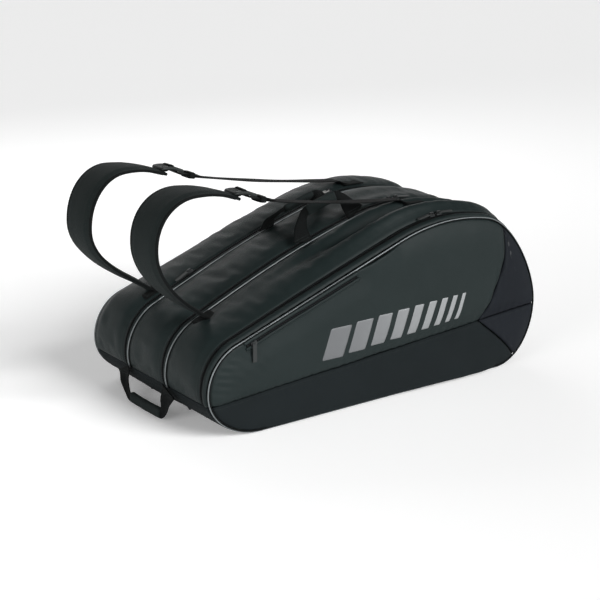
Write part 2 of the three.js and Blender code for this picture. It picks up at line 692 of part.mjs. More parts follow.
function addStrap(name, strap) {
  const toWorld = (place, [across, out]) => {
    return [place.x + place.nx * out, strap.y + across, place.z + place.nz * out];
  };
  const widthAt = (t) => {
    const grow = THREE.MathUtils.smoothstep(t, 0, pad.widenTo);
    const shrink = THREE.MathUtils.smoothstep(t, pad.narrowFrom, 1);
    return pad.footWidth + (pad.width - pad.footWidth) * grow - (pad.width - pad.tipWidth) * shrink;
  };
  const padSection = ({ t }) => {
    const half = widthAt(t) / 2;
    const fill = Math.min(1, pad.tipShare * t, pad.tipShare * (1 - t));
    const thick = THREE.MathUtils.lerp(pad.tipThickness, pad.thickness, fill) / 2;
    const edge = half - thick;
    return [[-half, 0], [-edge, -thick], [edge, -thick], [half, 0], [edge, thick], [-edge, thick]];
  };
  const body = sweep(inPlane(padCurve(strap), padSteps), padSection, toWorld);
  addMesh(`${name}_pad`, body, 'padding');

  // The webbing runs from just past the pad's tip to the tab on the bag's crest.
  const tip = new THREE.Vector2(...strap.tip);
  const land = topAt(strap.anchor, strap.y);
  const end = new THREE.Vector2(land.x - anchorReach, land.z + pad.footLift);
  const start = new THREE.Vector2(tip.x + webbing.gap, tip.y - webbing.drop);
  const sag = new THREE.Vector2((start.x + end.x) / 2, (start.y + end.y) / 2 - webbing.sag);
  const line = new THREE.QuadraticBezierCurve(start, sag, end);
  const flat = box(-webbing.width / 2, webbing.width / 2, -webbing.thickness / 2, webbing.thickness / 2);
  addMesh(`${name}_webbing`, sweep(inPlane(line, webbingSteps), () => flat, toWorld), 'webbing');

  // Ladder-lock buckle over the joint of pad and webbing.
  const slope = Math.atan2(sag.y - start.y, sag.x - start.x);
  const plate = roundedPlate(buckle.length, webbing.width + 2 * buckle.rail, buckle.corner);
  for (const side of [-1, 1]) {
    const slot = roundedPlate(buckle.slot, webbing.width + 2 * clearance, buckle.slotCorner).getPoints(slotSteps);
    const shift = side * (buckle.slot / 2 + buckle.bar / 2);
    plate.holes.push(new THREE.Path(slot.map((p) => new THREE.Vector2(p.x + shift, p.y))));
  }
  const frame = new THREE.ExtrudeGeometry(plate, {
    depth: buckle.thickness, bevelEnabled: false, curveSegments: cornerSteps,
  });
  const lock = addMesh(`${name}_buckle`, frame, 'plastic');
  lock.rotation.y = -slope;
  lock.position.set(tip.x + buckle.length / 3, strap.y, tip.y + buckle.rise - buckle.thickness / 2);

  // Keeper loop that holds the webbing's spare end.
  const at = line.getPointAt(keeper.along);
  const way = line.getTangentAt(keeper.along);
  const inside = { wide: webbing.width + 2 * clearance, thick: webbing.thickness + 2 * clearance };
  const frameOf = (wide, thick) => [[-1, -1], [1, -1], [1, 1], [-1, 1]].map(([a, b]) => {
    return new THREE.Vector2((a * wide) / 2, (b * thick) / 2);
  });
  const ring = new THREE.Shape(frameOf(inside.wide + 2 * keeper.wall, inside.thick + 2 * keeper.wall));
  ring.holes.push(new THREE.Path(frameOf(inside.wide, inside.thick).reverse()));
  const loop = new THREE.ExtrudeGeometry(ring, { depth: keeper.length, bevelEnabled: false });
  loop.rotateZ(Math.PI / 2).rotateY(Math.PI / 2).translate(-keeper.length / 2, 0, 0);
  const slide = addMesh(`${name}_keeper`, loop, 'plastic');
  slide.position.set(at.x, strap.y, at.y);
  slide.rotation.y = -Math.atan2(way.y, way.x);

  for (const [part, x] of [['foot', strap.foot], ['anchor', strap.anchor]]) {
    const spot = topAt(x, strap.y);
    const patch = block(strapTab.length, strapTab.width, strapTab.thickness);
    const tab = addMesh(`${name}_${part}`, patch, 'webbing');
    const out = strapTab.thickness / 2 + strapTab.stand;
    tab.position.set(spot.x - Math.sin(spot.slope) * out, strap.y, spot.z + Math.cos(spot.slope) * out);
    tab.rotation.y = -spot.slope;
  }
}

buildTray();
buildCompartments();
buildDividerPocket();
addSlider('near_zip_left', 128, -halfDepth + frontZipInset, -1);
addSlider('near_zip_right', 128 + sliderPair, -halfDepth + frontZipInset, 1);
addSlider('middle_zip_left', 128, nearSeam + innerZipInset, -1);
addSlider('middle_zip_right', 128 + sliderPair, nearSeam + innerZipInset, 1);
addSlider('far_zip_left', -236, farSeam + innerZipInset, -1);
addSlider('far_zip_right', 84, farSeam + innerZipInset, -1);
buildSlotPocket();
addCarryHandle('near_handle', nearSeam + handleSetback, nearHandleLean);
addCarryHandle('far_handle', farSeam - handleSetback, -farHandleLean);
addHaulHandle();
addStrap('near_strap', nearStrap);
addStrap('far_strap', farStrap);

export default group;
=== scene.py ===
import math
from bisect import bisect_left
from collections import namedtuple

import bmesh
import bpy
from mathutils import Matrix, Vector, noise
from mathutils.kdtree import KDTree


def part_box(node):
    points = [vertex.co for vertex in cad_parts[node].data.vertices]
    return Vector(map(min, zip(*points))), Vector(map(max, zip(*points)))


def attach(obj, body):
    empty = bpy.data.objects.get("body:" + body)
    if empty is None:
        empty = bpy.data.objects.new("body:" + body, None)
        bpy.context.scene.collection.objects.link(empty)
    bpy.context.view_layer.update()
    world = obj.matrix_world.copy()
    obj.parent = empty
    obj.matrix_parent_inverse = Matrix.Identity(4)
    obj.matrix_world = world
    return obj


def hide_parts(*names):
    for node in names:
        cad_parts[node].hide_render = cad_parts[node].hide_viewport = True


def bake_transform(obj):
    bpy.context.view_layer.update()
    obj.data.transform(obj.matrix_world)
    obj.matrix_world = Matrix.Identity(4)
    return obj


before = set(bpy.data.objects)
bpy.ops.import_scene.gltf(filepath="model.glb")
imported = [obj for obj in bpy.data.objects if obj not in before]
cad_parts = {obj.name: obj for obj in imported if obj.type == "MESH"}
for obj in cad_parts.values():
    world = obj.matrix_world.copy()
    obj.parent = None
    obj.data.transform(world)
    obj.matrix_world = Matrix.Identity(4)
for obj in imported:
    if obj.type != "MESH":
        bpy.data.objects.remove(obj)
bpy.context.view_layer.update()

# metres, +X towards the deep end, -Y towards the front panel, +Z up
camera = {"azimuth": -36, "elevation": 17.5, "distance": 3.0, "aim": (-0.042, 0, 0.1484), "lens": 94.95}
studio = {
    "floor": (0.97, 0.97, 0.97), "exposure": -0.25, "horizon": 1.15, "overhead": 0.10,
    "fade": (0.10, 0.42),
    "sunPower": 4.4, "sunSpread": 32, "sunWay": (-0.65, 2.3, -1.25), "rimPower": 15, "fillPower": 26,
    "floorGlow": 0.2,
}


def lerp(a, b, t):
    return a + (b - a) * t


def clamp(value, low=0.0, high=1.0):
    return max(low, min(high, value))


def smooth(value, low=0.0, high=1.0):
    t = clamp((value - low) / (high - low))
    return t * t * (3 - 2 * t)


def hump(value, middle, reach):
    return math.exp(-(((value - middle) / reach) ** 2))


def middleOf(node):
    low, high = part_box(node)
    return (low + high) / 2


# Camera, light and floor

def buildStudio():
    scene = bpy.context.scene
    turn, tilt = math.radians(camera["azimuth"]), math.radians(camera["elevation"])
    back = Vector((math.sin(turn) * math.cos(tilt), -math.cos(turn) * math.cos(tilt), math.sin(tilt)))
    eye = bpy.data.objects.new("camera", bpy.data.cameras.new("camera"))
    eye.data.lens = camera["lens"]
    eye.data.sensor_width = 36
    eye.data.clip_end = 60
    eye.location = Vector(camera["aim"]) + back * camera["distance"]
    eye.rotation_euler = (-back).to_track_quat("-Z", "Y").to_euler()
    scene.collection.objects.link(eye)
    scene.camera = eye
    scene.view_settings.view_transform = "Standard"
    scene.view_settings.exposure = studio["exposure"]

    world = bpy.data.worlds.new("studio")
    scene.world = world
    world.use_nodes = True
    # pale at the horizon and darker overhead, like a studio with its ceiling lamps off
    nodes, links = world.node_tree.nodes, world.node_tree.links
    sky = nodes["Background"]
    around, split, fade = (nodes.new("ShaderNode" + kind)
                           for kind in ("TexCoord", "SeparateXYZ", "MapRange"))
    fade.interpolation_type = "SMOOTHSTEP"
    for socket, value in zip(fade.inputs[1:5], (*studio["fade"], studio["horizon"],
                                                studio["overhead"])):
        socket.default_value = value
    links.new(around.outputs["Generated"], split.inputs[0])
    links.new(split.outputs["Z"], fade.inputs[0])
    links.new(fade.outputs[0], sky.inputs["Strength"])
    sky.inputs["Color"].default_value = (1, 1, 1, 1)

    def softbox(name, place, aim, size, power):
        lamp = bpy.data.objects.new(name, bpy.data.lights.new(name, "AREA"))
        lamp.data.shape = "RECTANGLE"
        lamp.data.size, lamp.data.size_y = size
        lamp.data.energy = power
        lamp.location = place
        lamp.rotation_euler = (Vector(aim) - Vector(place)).to_track_quat("-Z", "Y").to_euler()
        scene.collection.objects.link(lamp)

    sun = bpy.data.objects.new("key", bpy.data.lights.new("key", "SUN"))
    sun.data.energy, sun.data.angle = studio["sunPower"], math.radians(studio["sunSpread"])
    sun.rotation_euler = Vector(studio["sunWay"]).to_track_quat("-Z", "Y").to_euler()
    scene.collection.objects.link(sun)
    softbox("rim", (0.5, 1.9, 1.5), (0, 0, 0.25), (2.2, 0.7), studio["rimPower"])
    softbox("fill", (-2.3, -0.9, 0.8), (-0.1, 0, 0.15), (1.2, 1.0), studio["fillPower"])

    sheet = bmesh.new()
    bmesh.ops.create_grid(sheet, x_segments=2, y_segments=2, size=30)
    mesh = bpy.data.meshes.new("floor")
    sheet.to_mesh(mesh)
    floor = bpy.data.objects.new("floor", mesh)
    floor.location.z = -0.0005
    scene.collection.objects.link(floor)
    paper = Shader("studio_paper")
    grain = paper.node("ShaderNodeTexNoise", Vector=paper.coordinates("Object"), Scale=3.0)
    paper.surface["Base Color"] = paper.mix(grain * 0.02, studio["floor"], (0.9, 0.9, 0.9))
    paper.surface["Roughness"] = 0.9
    paper.surface["Emission Color"] = (1, 1, 1)
    paper.surface["Emission Strength"] = studio["floorGlow"]
    mesh.materials.append(paper.material)


# Shader maths as plain expressions

class Wire:
    # one output socket, read like a number
    def __init__(self, shader, socket):
        self.shader, self.socket = shader, socket

    def maths(self, operation, *values):
        return self.shader.node("ShaderNodeMath", {"operation": operation}, *values)

    def __add__(self, other):
        return self.maths("ADD", self, other)

    def __sub__(self, other):
        return self.maths("SUBTRACT", self, other)

    def __rsub__(self, other):
        return self.maths("SUBTRACT", other, self)

    def __mul__(self, other):
        return self.maths("MULTIPLY", self, other)

    __radd__ = __add__
    __rmul__ = __mul__

    def waves(self, count):
        return self.maths("SINE", self * (2 * math.pi * count))

    def clipped(self):
        return self.shader.node("ShaderNodeClamp", {}, self)

    def between(self, low, high):
        return self.shader.node("ShaderNodeMapRange", {"interpolation_type": "SMOOTHSTEP"}, self, low,
                                high)


class Sockets:
    # sets or links the inputs of a node by name
    def __init__(self, shader, node):
        self.shader, self.inner = shader, node

    def __setitem__(self, name, value):
        self.shader.feed(self.inner.inputs[name], value)


class Shader:
    def __init__(self, name):
        self.material = bpy.data.materials.new(name)
        self.material.use_nodes = True
        self.tree = self.material.node_tree
        self.tree.nodes.clear()
        self.inner = self.tree.nodes.new("ShaderNodeBsdfPrincipled")
        output = self.tree.nodes.new("ShaderNodeOutputMaterial")
        self.tree.links.new(self.inner.outputs[0], output.inputs["Surface"])
        self.surface = Sockets(self, self.inner)

    def feed(self, socket, value):
        if isinstance(value, Wire):
            self.tree.links.new(value.socket, socket)
        elif hasattr(value, "__len__") and len(value) == 3 and socket.type == "RGBA":
            socket.default_value = (*value, 1)
        else:
            socket.default_value = value

    def node(self, kind, settings=None, *values, out=0, **links):
        made = self.tree.nodes.new(kind)
        for name, value in (settings or {}).items():
            if name == "stops":
                ramp = made.color_ramp
                for stop, colour in value:
                    element = ramp.elements[0] if stop == value[0][0] else ramp.elements.new(stop)
                    element.position, element.color = stop, (*colour, 1)
                ramp.elements.remove(ramp.elements[-1])
            else:
                setattr(made, name, value)
        for socket, value in zip(made.inputs, values):
            self.feed(socket, value)
        for name, value in links.items():
            self.feed(made.inputs[name.replace("_", " ")], value)
        return Wire(self, made.outputs[out])

    def coordinates(self, kind):
        return self.node("ShaderNodeTexCoord", out=kind)

    def cloth(self):
        # metres along and across the sewn piece
        return self.node("ShaderNodeAttribute", {"attribute_name": "cloth"}, out="Vector")

    def parts(self, vector):
        split = self.node("ShaderNodeSeparateXYZ", {}, vector)
        return [Wire(self, socket) for socket in split.socket.node.outputs]

    def noise(self, vector, scale, detail=3.0, roughness=0.5):
        return self.node("ShaderNodeTexNoise", {}, Vector=vector, Scale=scale, Detail=detail,
                         Roughness=roughness)

    def mix(self, factor, a, b, blend="MIX"):
        made = self.tree.nodes.new("ShaderNodeMix")
        made.data_type, made.blend_type = "RGBA", blend
        for socket, value in ((made.inputs[0], factor), (made.inputs[6], a), (made.inputs[7], b)):
            self.feed(socket, value)
        return Wire(self, made.outputs[2])

    def bump(self, height, distance, strength=1.0):
        normal = self.node("ShaderNodeBump", {}, Strength=strength, Distance=distance, Height=height)
        self.surface["Normal"] = normal


def weave(shader, vector, pitch):
    # over and under threads, 0 to 1
    along, across, _ = shader.parts(vector)
    warp = along.waves(1 / pitch)
    weft = across.waves(1 / pitch)
    return warp * weft * 0.5 + 0.5


def fabric(name, colour, pitch, depth, rough, sheen=0.0, wear=0.35, grain=420.0, gloss=0.06):
    shader = Shader(name)
    place = shader.cloth()
    threads = weave(shader, place, pitch)
    patches = shader.noise(place, 9.0)
    specks = shader.noise(place, grain, 2.0)
    dark = tuple(c * (1 - wear) for c in colour)
    light = tuple(c * (1 + wear) for c in colour)
    tone = (patches * 0.6 + specks * 0.3 + threads * 0.15).clipped()
    shader.surface["Base Color"] = shader.mix(tone, dark, light)
    shader.surface["Roughness"] = (patches * 0.14 + threads * 0.06 + (rough - 0.1)).clipped()
    shader.surface["Specular IOR Level"] = gloss
    shader.surface["Sheen Weight"] = sheen
    shader.surface["Sheen Roughness"] = 0.5
    shader.bump(threads * 0.7 + specks * 0.3, depth)
    return shader.material


def ribbed(name, colour, rib, depth, rough):
    # webbing and binding: ribs across, fine yarns along
    shader = Shader(name)
    place = shader.cloth()
    along, across, _ = shader.parts(place)
    ribs = along.waves(1 / rib) * 0.5 + 0.5
    yarns = across.waves(1 / (rib * 0.55)) * 0.5 + 0.5
    fuzz = shader.noise(place, 650.0, 2.0)
    tone = (ribs * 0.35 + yarns * 0.2 + fuzz * 0.45).clipped()
    shader.surface["Base Color"] = shader.mix(tone, tuple(c * 0.6 for c in colour),
                                              tuple(c * 1.4 for c in colour))
    shader.surface["Roughness"] = (fuzz * 0.2 + (rough - 0.1)).clipped()
    shader.surface["Specular IOR Level"] = 0.06
    shader.surface["Sheen Weight"] = 0.01
    shader.bump(ribs * 0.6 + yarns * 0.25 + fuzz * 0.15, depth)
    return shader.material


def reflective(name):
    # silver tape with tiny glass beads over a woven back
    shader = Shader(name)
    place = shader.cloth()
    beads = shader.node("ShaderNodeTexVoronoi", {}, Vector=place, Scale=1400.0)
    scuffs = shader.noise(place, 60.0, 4.0)
    worn = scuffs.between(0.52, 0.75)
    shader.surface["Base Color"] = shader.mix(worn * 0.5, (0.15, 0.165, 0.17), (0.04, 0.045, 0.048))
    shader.surface["Metallic"] = 0.4
    shader.surface["Roughness"] = (beads * 0.15 + scuffs * 0.15 + 0.28).clipped()
    shader.bump(beads, 0.0001)
    return shader.material


def moulded(name, colour, rough, grain, depth, metal=0.0):
    # plastic or painted metal with a fine grain and rubbed edges
    shader = Shader(name)
    place = shader.coordinates("Object")
    pits = shader.noise(place, grain, 3.0)
    smears = shader.noise(place, 90.0, 3.0)
    rubbed = shader.node("ShaderNodeNewGeometry", out="Pointiness").between(0.52, 0.6)
    worn = tuple(c * 1.8 + 0.003 for c in colour)
    shader.surface["Base Color"] = shader.mix(rubbed * 0.4 + smears * 0.2, colour, worn)
    shader.surface["Metallic"] = metal
    shader.surface["Specular IOR Level"] = 0.2
    shader.surface["Roughness"] = (smears * 0.2 + (rough - 0.1)).clipped()
    shader.bump(pits, depth)
    return shader.material


def printed(name):
    # silver ink that fades along the bag
    shader = Shader(name)
    along, across, _ = shader.parts(shader.cloth())
    flakes = shader.noise(shader.cloth(), 900.0, 2.0)
    fade = along.between(0.2, -0.14)
    shader.surface["Base Color"] = shader.mix(fade, (0.26, 0.27, 0.275), (0.12, 0.125, 0.13))
    shader.surface["Metallic"] = 0.35
    shader.surface["Roughness"] = (flakes * 0.2 + 0.3).clipped()
    shader.bump(flakes, 0.00005)
    return shader.material


def makeFinishes():
    return {
        "shell": fabric("coated_shell", (0.0098, 0.0152, 0.0152), 0.0009, 0.00012, 0.46, wear=0.2,
                        gloss=0.12),
        "coarse": fabric("coarse_shell", (0.0085, 0.0112, 0.0122), 0.0017, 0.0004, 0.75),
        "deepEnd": fabric("deep_end_shell", (0.0095, 0.0112, 0.0142), 0.0015, 0.0003, 0.7),
        "lining": fabric("lining_cloth", (0.050, 0.053, 0.056), 0.0012, 0.0002, 0.8),
        "padFace": fabric("pad_face", (0.0110, 0.0148, 0.0146), 0.0014, 0.00025, 0.72, sheen=0.01),
        "padBack": fabric("pad_mesh", (0.008, 0.0095, 0.0095), 0.0032, 0.0006, 0.85, sheen=0.01),
        "board": moulded("stiffener_board", (0.1, 0.1, 0.096), 0.7, 300.0, 0.0001),
        "webbing": ribbed("webbing_weave", (0.0044, 0.0052, 0.0052), 0.0028, 0.0006, 0.75),
        "binding": ribbed("binding_tape", (0.0040, 0.0050, 0.0050), 0.0016, 0.0002, 0.7),
        "tape": ribbed("zip_tape", (0.0035, 0.0044, 0.0046), 0.0011, 0.00015, 0.75),
        "thread": ribbed("sewing_thread", (0.017, 0.021, 0.021), 0.0006, 0.0001, 0.55),
        "piping": reflective("reflective_piping"),
        "coil": moulded("nylon_coil", (0.0040, 0.0048, 0.0052), 0.45, 900.0, 0.00003),
        "slider": moulded("painted_slider", (0.022, 0.024, 0.025), 0.4, 500.0, 0.00003, metal=0.5),
        "pull": moulded("soft_pull", (0.016, 0.018, 0.018), 0.5, 700.0, 0.00006),
        "pullTip": moulded("grey_pull_end", (0.2, 0.2, 0.195), 0.5, 700.0, 0.00006),
        "buckle": moulded("satin_buckle", (0.016, 0.0185, 0.018), 0.42, 260.0, 0.00006),
        "print": printed("silver_print"),
    }


# Meshes

def addMesh(name, points, faces, cloth, materials, pick=None):
    mesh = bpy.data.meshes.new(name)
    mesh.from_pydata([tuple(p) for p in points], [], faces)
    mesh.attributes.new("cloth", "FLOAT_VECTOR", "POINT")
    flat = [c for place in cloth for c in place]
    mesh.attributes["cloth"].data.foreach_set("vector", flat)
    for material in materials:
        mesh.materials.append(finish[material])
    for index, face in enumerate(mesh.polygons):
        face.use_smooth = True
        face.material_index = pick(index) if pick else 0
    piece = bpy.data.objects.new(name, mesh)
    bpy.context.scene.collection.objects.link(piece)
    return piece


def gridFaces(rows, columns, base=0, flip=False):
    # quads over a grid of points, row after row
    faces, across = [], columns + 1
    for j in range(rows):
        for i in range(columns):
            a = base + j * across + i
            quad = (a, a + 1, a + 1 + across, a + across)
            faces.append((a, a + across, a + 1 + across, a + 1) if flip else quad)
    return faces


def twoWalls(name, rows, columns, pointAt, clothAt):
    # a front wall and a back wall, joined all the way round
    points = [pointAt(i, j, sign) for sign in (1, -1) for j in range(rows + 1)
              for i in range(columns + 1)]
    row = columns + 1
    other = row * (rows + 1)
    faces = gridFaces(rows, columns, flip=True) + gridFaces(rows, columns, base=other)
    around = list(range(row)) + [j * row + columns for j in range(1, rows + 1)]
    around += [rows * row + i for i in range(columns - 1, -1, -1)] + [j * row
                                                                      for j in range(rows - 1, 0, -1)]
    for a, b in zip(around, around[1:] + around[:1]):
        faces.append((a, b, b + other, a + other))
    return turnOut(addMesh(name, points, faces, [clothAt(p) for p in points], ["lining"]))


def turnOut(piece):
    # closed meshes get faces that point outwards
    made = bmesh.new()
    made.from_mesh(piece.data)
    bmesh.ops.recalc_face_normals(made, faces=made.faces)
    made.to_mesh(piece.data)
    made.free()
    return piece


def loft(name, rings, materials, capped=True, closed=True, start=0.0, pick=None):
    # skins a list of rings of points
    count = len(rings[0])
    points, cloth, faces = [], [], []
    travelled = start
    for index, ring in enumerate(rings):
        if index:
            travelled += (sum(ring, Vector()) - sum(rings[index - 1], Vector())).length / count
        around = 0.0
        for k, point in enumerate(ring):
            around += (point - ring[k - 1]).length if k else 0.0
            points.append(point)
            cloth.append((travelled, around, 0))
    for i in range(len(rings) - 1):
        for k in range(count if closed else count - 1):
            a, b = i * count + k, i * count + (k + 1) % count
            faces.append((a, b, b + count, a + count))
    if capped and closed:
        faces.append(tuple(reversed(range(count))))
        faces.append(tuple(range((len(rings) - 1) * count, len(rings) * count)))
    piece = addMesh(name, points, faces, cloth, materials, pick)
    return turnOut(piece) if closed else piece


def circle(radius, count=10):
    turns = [2 * math.pi * k / count for k in range(count)]
    return [(radius * math.cos(a), radius * math.sin(a)) for a in turns]


def flatSection(width, thickness, corner=3):
    # a flat band with half-round edges, as (across, out) pairs
    r = thickness / 2
    right = [(width / 2 - r + r * math.sin(a), -r * math.cos(a)) for a in
             [math.pi * k / (2 * corner) for k in range(2 * corner + 1)]]
    inner = [(width / 2 - r) * (1 - 2 * k / 6) for k in range(1, 6)]
    top = [(x, r) for x in inner]
    left = [(-x, -z) for x, z in right]
    bottom = [(-x, -r) for x in inner]
    return right + top + left + bottom


def joinMeshes(name, pieces):
    bpy.ops.object.select_all(action="DESELECT")
    for piece in pieces:
        piece.select_set(True)
    bpy.context.view_layer.objects.active = pieces[0]
    bpy.ops.object.join()
    pieces[0].name = pieces[0].data.name = name
    return pieces[0]


def applyModifiers(piece):
    graph = bpy.context.evaluated_depsgraph_get()
    mesh = bpy.data.meshes.new_from_object(piece.evaluated_get(graph))
    piece.modifiers.clear()
    piece.data = mesh
    return piece


def refine(piece, levels=1):
    piece.modifiers.new("smooth", "SUBSURF").levels = levels
    return applyModifiers(piece)


def thicken(piece, depth, inner=0, rim=0):
    wall = piece.modifiers.new("wall", "SOLIDIFY")
    wall.thickness, wall.offset = depth, -1
    wall.use_quality_normals = True
    wall.material_offset, wall.material_offset_rim = inner, rim
    return applyModifiers(piece)


# The bag's side outline and the lines that run along it

gap = 0.0003
panelLow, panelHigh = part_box("front_panel")
noseX, deepX, topZ = panelLow.x, panelHigh.x, panelHigh.z
halfDepth = -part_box("front_piping")[1].y - gap
nearSeam, farSeam = middleOf("middle_piping").y, middleOf("far_piping").y
bay = farSeam - nearSeam
zipY = {name: middleOf(name + "_zip_chain").y for name in ("near", "middle", "far")}
side = {
    "noseRadius": 0.088, "noseHeight": 0.087, "noseRun": 0.110, "noseCurl": 0.42,
    "crestRadius": 0.379, "crestSetback": 0.215, "shoulder": 77, "shoulderPull": 0.070,
    "deepPull": 0.060, "deepHeight": 0.122, "deepRun": 0.095, "rimHeight": 0.066, "rimSlope": 0.067,
}
puff = {"bow": 0.022, "bowLead": 0.100, "bowReach": 0.780, "bay": 0.008, "taper": 0.12}
Place = namedtuple("Place", "x z nx nz t s")


def arc(middle, radius, start, end, steps=60, tall=None):
    turns = [lerp(start, end, k / steps) for k in range(steps + 1)]
    return [Vector((middle[0] + radius * math.cos(a), middle[1] + (tall or radius) * math.sin(a)))
            for a in turns]


def bezier(a, b, c, d, steps=40):
    points = []
    for k in range(steps + 1):
        t = k / steps
        u = 1 - t
        weights = (u ** 3, 3 * u * u * t, 3 * u * t * t, t ** 3)
        points.append(sum((Vector(p) * w for p, w in zip((a, b, c, d), weights)), Vector((0, 0))))
    return points


def sideOutline():
    nose = Vector((noseX + side["noseRadius"], side["noseHeight"]))
    crest = Vector((deepX - side["crestSetback"], topZ - side["crestRadius"]))
    between = crest - nose
    lean = (side["noseRadius"] - side["crestRadius"]) / between.length
    rise = math.atan2(between.y, between.x) + math.acos(lean)
    turn = math.radians(side["shoulder"])
    shoulder = crest + side["crestRadius"] * Vector((math.cos(turn), math.sin(turn)))
    leave = shoulder + side["shoulderPull"] * Vector((math.sin(turn), -math.cos(turn)))
    deepZ = side["deepHeight"]
    points = arc(nose, side["noseRadius"], math.pi, rise)
    points += arc(crest, side["crestRadius"], rise, turn)
    points += bezier(shoulder, leave, (deepX, deepZ + side["deepPull"]), (deepX, deepZ))[1:]
    points += arc((deepX - side["deepRun"], deepZ), side["deepRun"], 0, -math.pi / 2, tall=deepZ)[1:]
    run = side["noseRun"]
    low = side["noseHeight"] * side["noseCurl"]
    curl = bezier((noseX + run, 0), (noseX + run / 2, 0), (noseX, low), (noseX, side["noseHeight"]))
    return points + curl[:-1]


def rimAt(x):
    return side["rimHeight"] + side["rimSlope"] * (x - noseX)


def splitAtRim(points):
    # the part above the tray's rim and the part below it
    heights = [p.y - rimAt(p.x) for p in points]
    count = len(points)
    cuts = {}
    for i in range(count):
        a, b = heights[i], heights[(i + 1) % count]
        if (a > 0) != (b > 0):
            cuts["down" if a > 0 else "up"] = (i, points[i].lerp(points[(i + 1) % count], a / (a - b)))

    def between(start, end):
        run, i = [cuts[start][1]], (cuts[start][0] + 1) % count
        while i != (cuts[end][0] + 1) % count:
            run.append(points[i])
            i = (i + 1) % count
        return run + [cuts[end][1]]

    return between("up", "down"), between("down", "up")


class Run:
    # a line of points in the side plane, read by its share of the way
    def __init__(self, points, trim=gap):
        self.points, self.trim, self.lengths = points, trim, [0.0]
        for before, after in zip(points, points[1:]):
            self.lengths.append(self.lengths[-1] + (after - before).length)
        self.total = self.lengths[-1]

    def point(self, distance):
        d = clamp(distance, 0, self.total)
        i = max(1, min(bisect_left(self.lengths, d), len(self.points) - 1))
        step = max(self.lengths[i] - self.lengths[i - 1], 1e-9)
        return self.points[i - 1].lerp(self.points[i], (d - self.lengths[i - 1]) / step)

    def at(self, share):
        d = self.trim + share * (self.total - 2 * self.trim)
        p = self.point(d)
        way = (self.point(d + 0.002) - self.point(d - 0.002)).normalized()
        return Place(p.x, p.y, -way.y, way.x, share, d)

    def places(self, steps, start=0.0, end=1.0):
        return [self.at(lerp(start, end, k / steps)) for k in range(steps + 1)]


upperLine, lowerLine = splitAtRim(sideOutline())
topRun, baseRun = Run(upperLine), Run(lowerLine)


def crown(place, y):
    # how far the top stands out from the side outline
    taper = min(1, place.t / puff["taper"], (1 - place.t) / puff["taper"])
    across = 1 - (y / halfDepth) ** 2
    reach = clamp((place.x - noseX + puff["bowLead"]) / puff["bowReach"])
    along = math.sin(math.pi * reach) ** 2
    part = ((y + halfDepth) % bay) / bay
    return taper * (puff["bow"] * across * along + puff["bay"] * 4 * part * (1 - part))


def onTop(place, y, out=0.0):
    lift = crown(place, y) + out
    return Vector((place.x + place.nx * lift, y, place.z + place.nz * lift))


def topShare(x, y):
    # the share of the top line whose crown lies over x
    low, high = puff["taper"], 1 - puff["taper"] / 2
    for _ in range(40):
        middle = (low + high) / 2
        low, high = (middle, high) if onTop(topRun.at(middle), y).x < x else (low, middle)
    return (low + high) / 2


def topFrame(x, y, out=0.0):
    # a frame that lies on the top: X along it, Z out of it
    share = topShare(x, y)
    here = onTop(topRun.at(share), y)
    way = onTop(topRun.at(share + 0.004), y) - onTop(topRun.at(share - 0.004), y)
    slope = math.atan2(way.z, way.x)
    turn = Matrix.Rotation(-slope, 4, "Y")
    return Matrix.Translation(here + turn @ Vector((0, 0, out))) @ turn


# What the fabric does between its seams

def folds(x, y, z, size, seed):
    return noise.noise(Vector((x / size + seed, y / size, z / size + 3.1 * seed)))


bays = {
    "near": {"body": "near_compartment", "from": zipY["near"], "to": nearSeam, "seed": 2.0},
    "middle": {"body": "tray", "from": zipY["middle"], "to": farSeam, "seed": 7.0},
    "far": {"body": "far_compartment", "from": zipY["far"], "to": halfDepth, "seed": 11.0},
}
chain = {"half": 0.0033, "puckers": 0.0006, "puckerPitch": 0.021}


def baySwell(name, place, y, v):
    # a share v across a bay: soft humps that die away at both seams
    spec = bays[name]
    ends = min(1, place.t / 0.05, (1 - place.t) / 0.05)
    loose = smooth(min(v, 1 - v), 0.0, 0.22)
    swell = 0.0035 * loose + 0.0028 * loose * folds(place.s, y, 0, 0.11, spec["seed"])
    swell += 0.0012 * loose * folds(place.s * 2.2, y * 0.8, 0, 0.035, spec["seed"] + 5)
    if name == "near":
        reach = hump(place.x, 0.10, 0.18)
        swell += reach * (0.012 * hump(v, 0.22, 0.16) - 0.026 * hump(v, 0.56,
                                                                     0.12) + 0.005 * hump(v, 0.85,
                                                                                          0.10))
    if name == "middle":
        swell -= 0.006 * hump(place.x, 0.08, 0.2) * hump(v, 0.35, 0.2)
    if name == "far":
        swell += 0.003 * hump(place.x, 0.05, 0.16) * hump(v, 0.5, 0.25)
    return ends * swell


def puckers(s, edgeDistance, seed):
    # small gathers beside a line of stitching
    fade = math.exp(-edgeDistance / 0.007)
    beat = math.sin(2 * math.pi * s / chain["puckerPitch"] + 3 * noise.noise(Vector((s * 9, seed, 0))))
    return chain["puckers"] * fade * beat * (0.6 + 0.6 * noise.noise(Vector((s * 14, seed, 5))))


def rollAt(edgeDistance, depth=0.0026, reach=0.0035):
    # cloth turns down where it is sewn
    return -depth * max(0.0, 1 - edgeDistance / reach) ** 2


def spreadEdges(low, high, count, tight=1.7):
    # places that crowd towards both ends
    places = []
    for k in range(count + 1):
        t = 2 * k / count - 1
        places.append(lerp(low, high, 0.5 + 0.5 * math.copysign(1 - (1 - abs(t)) ** tight, t)))
    return places


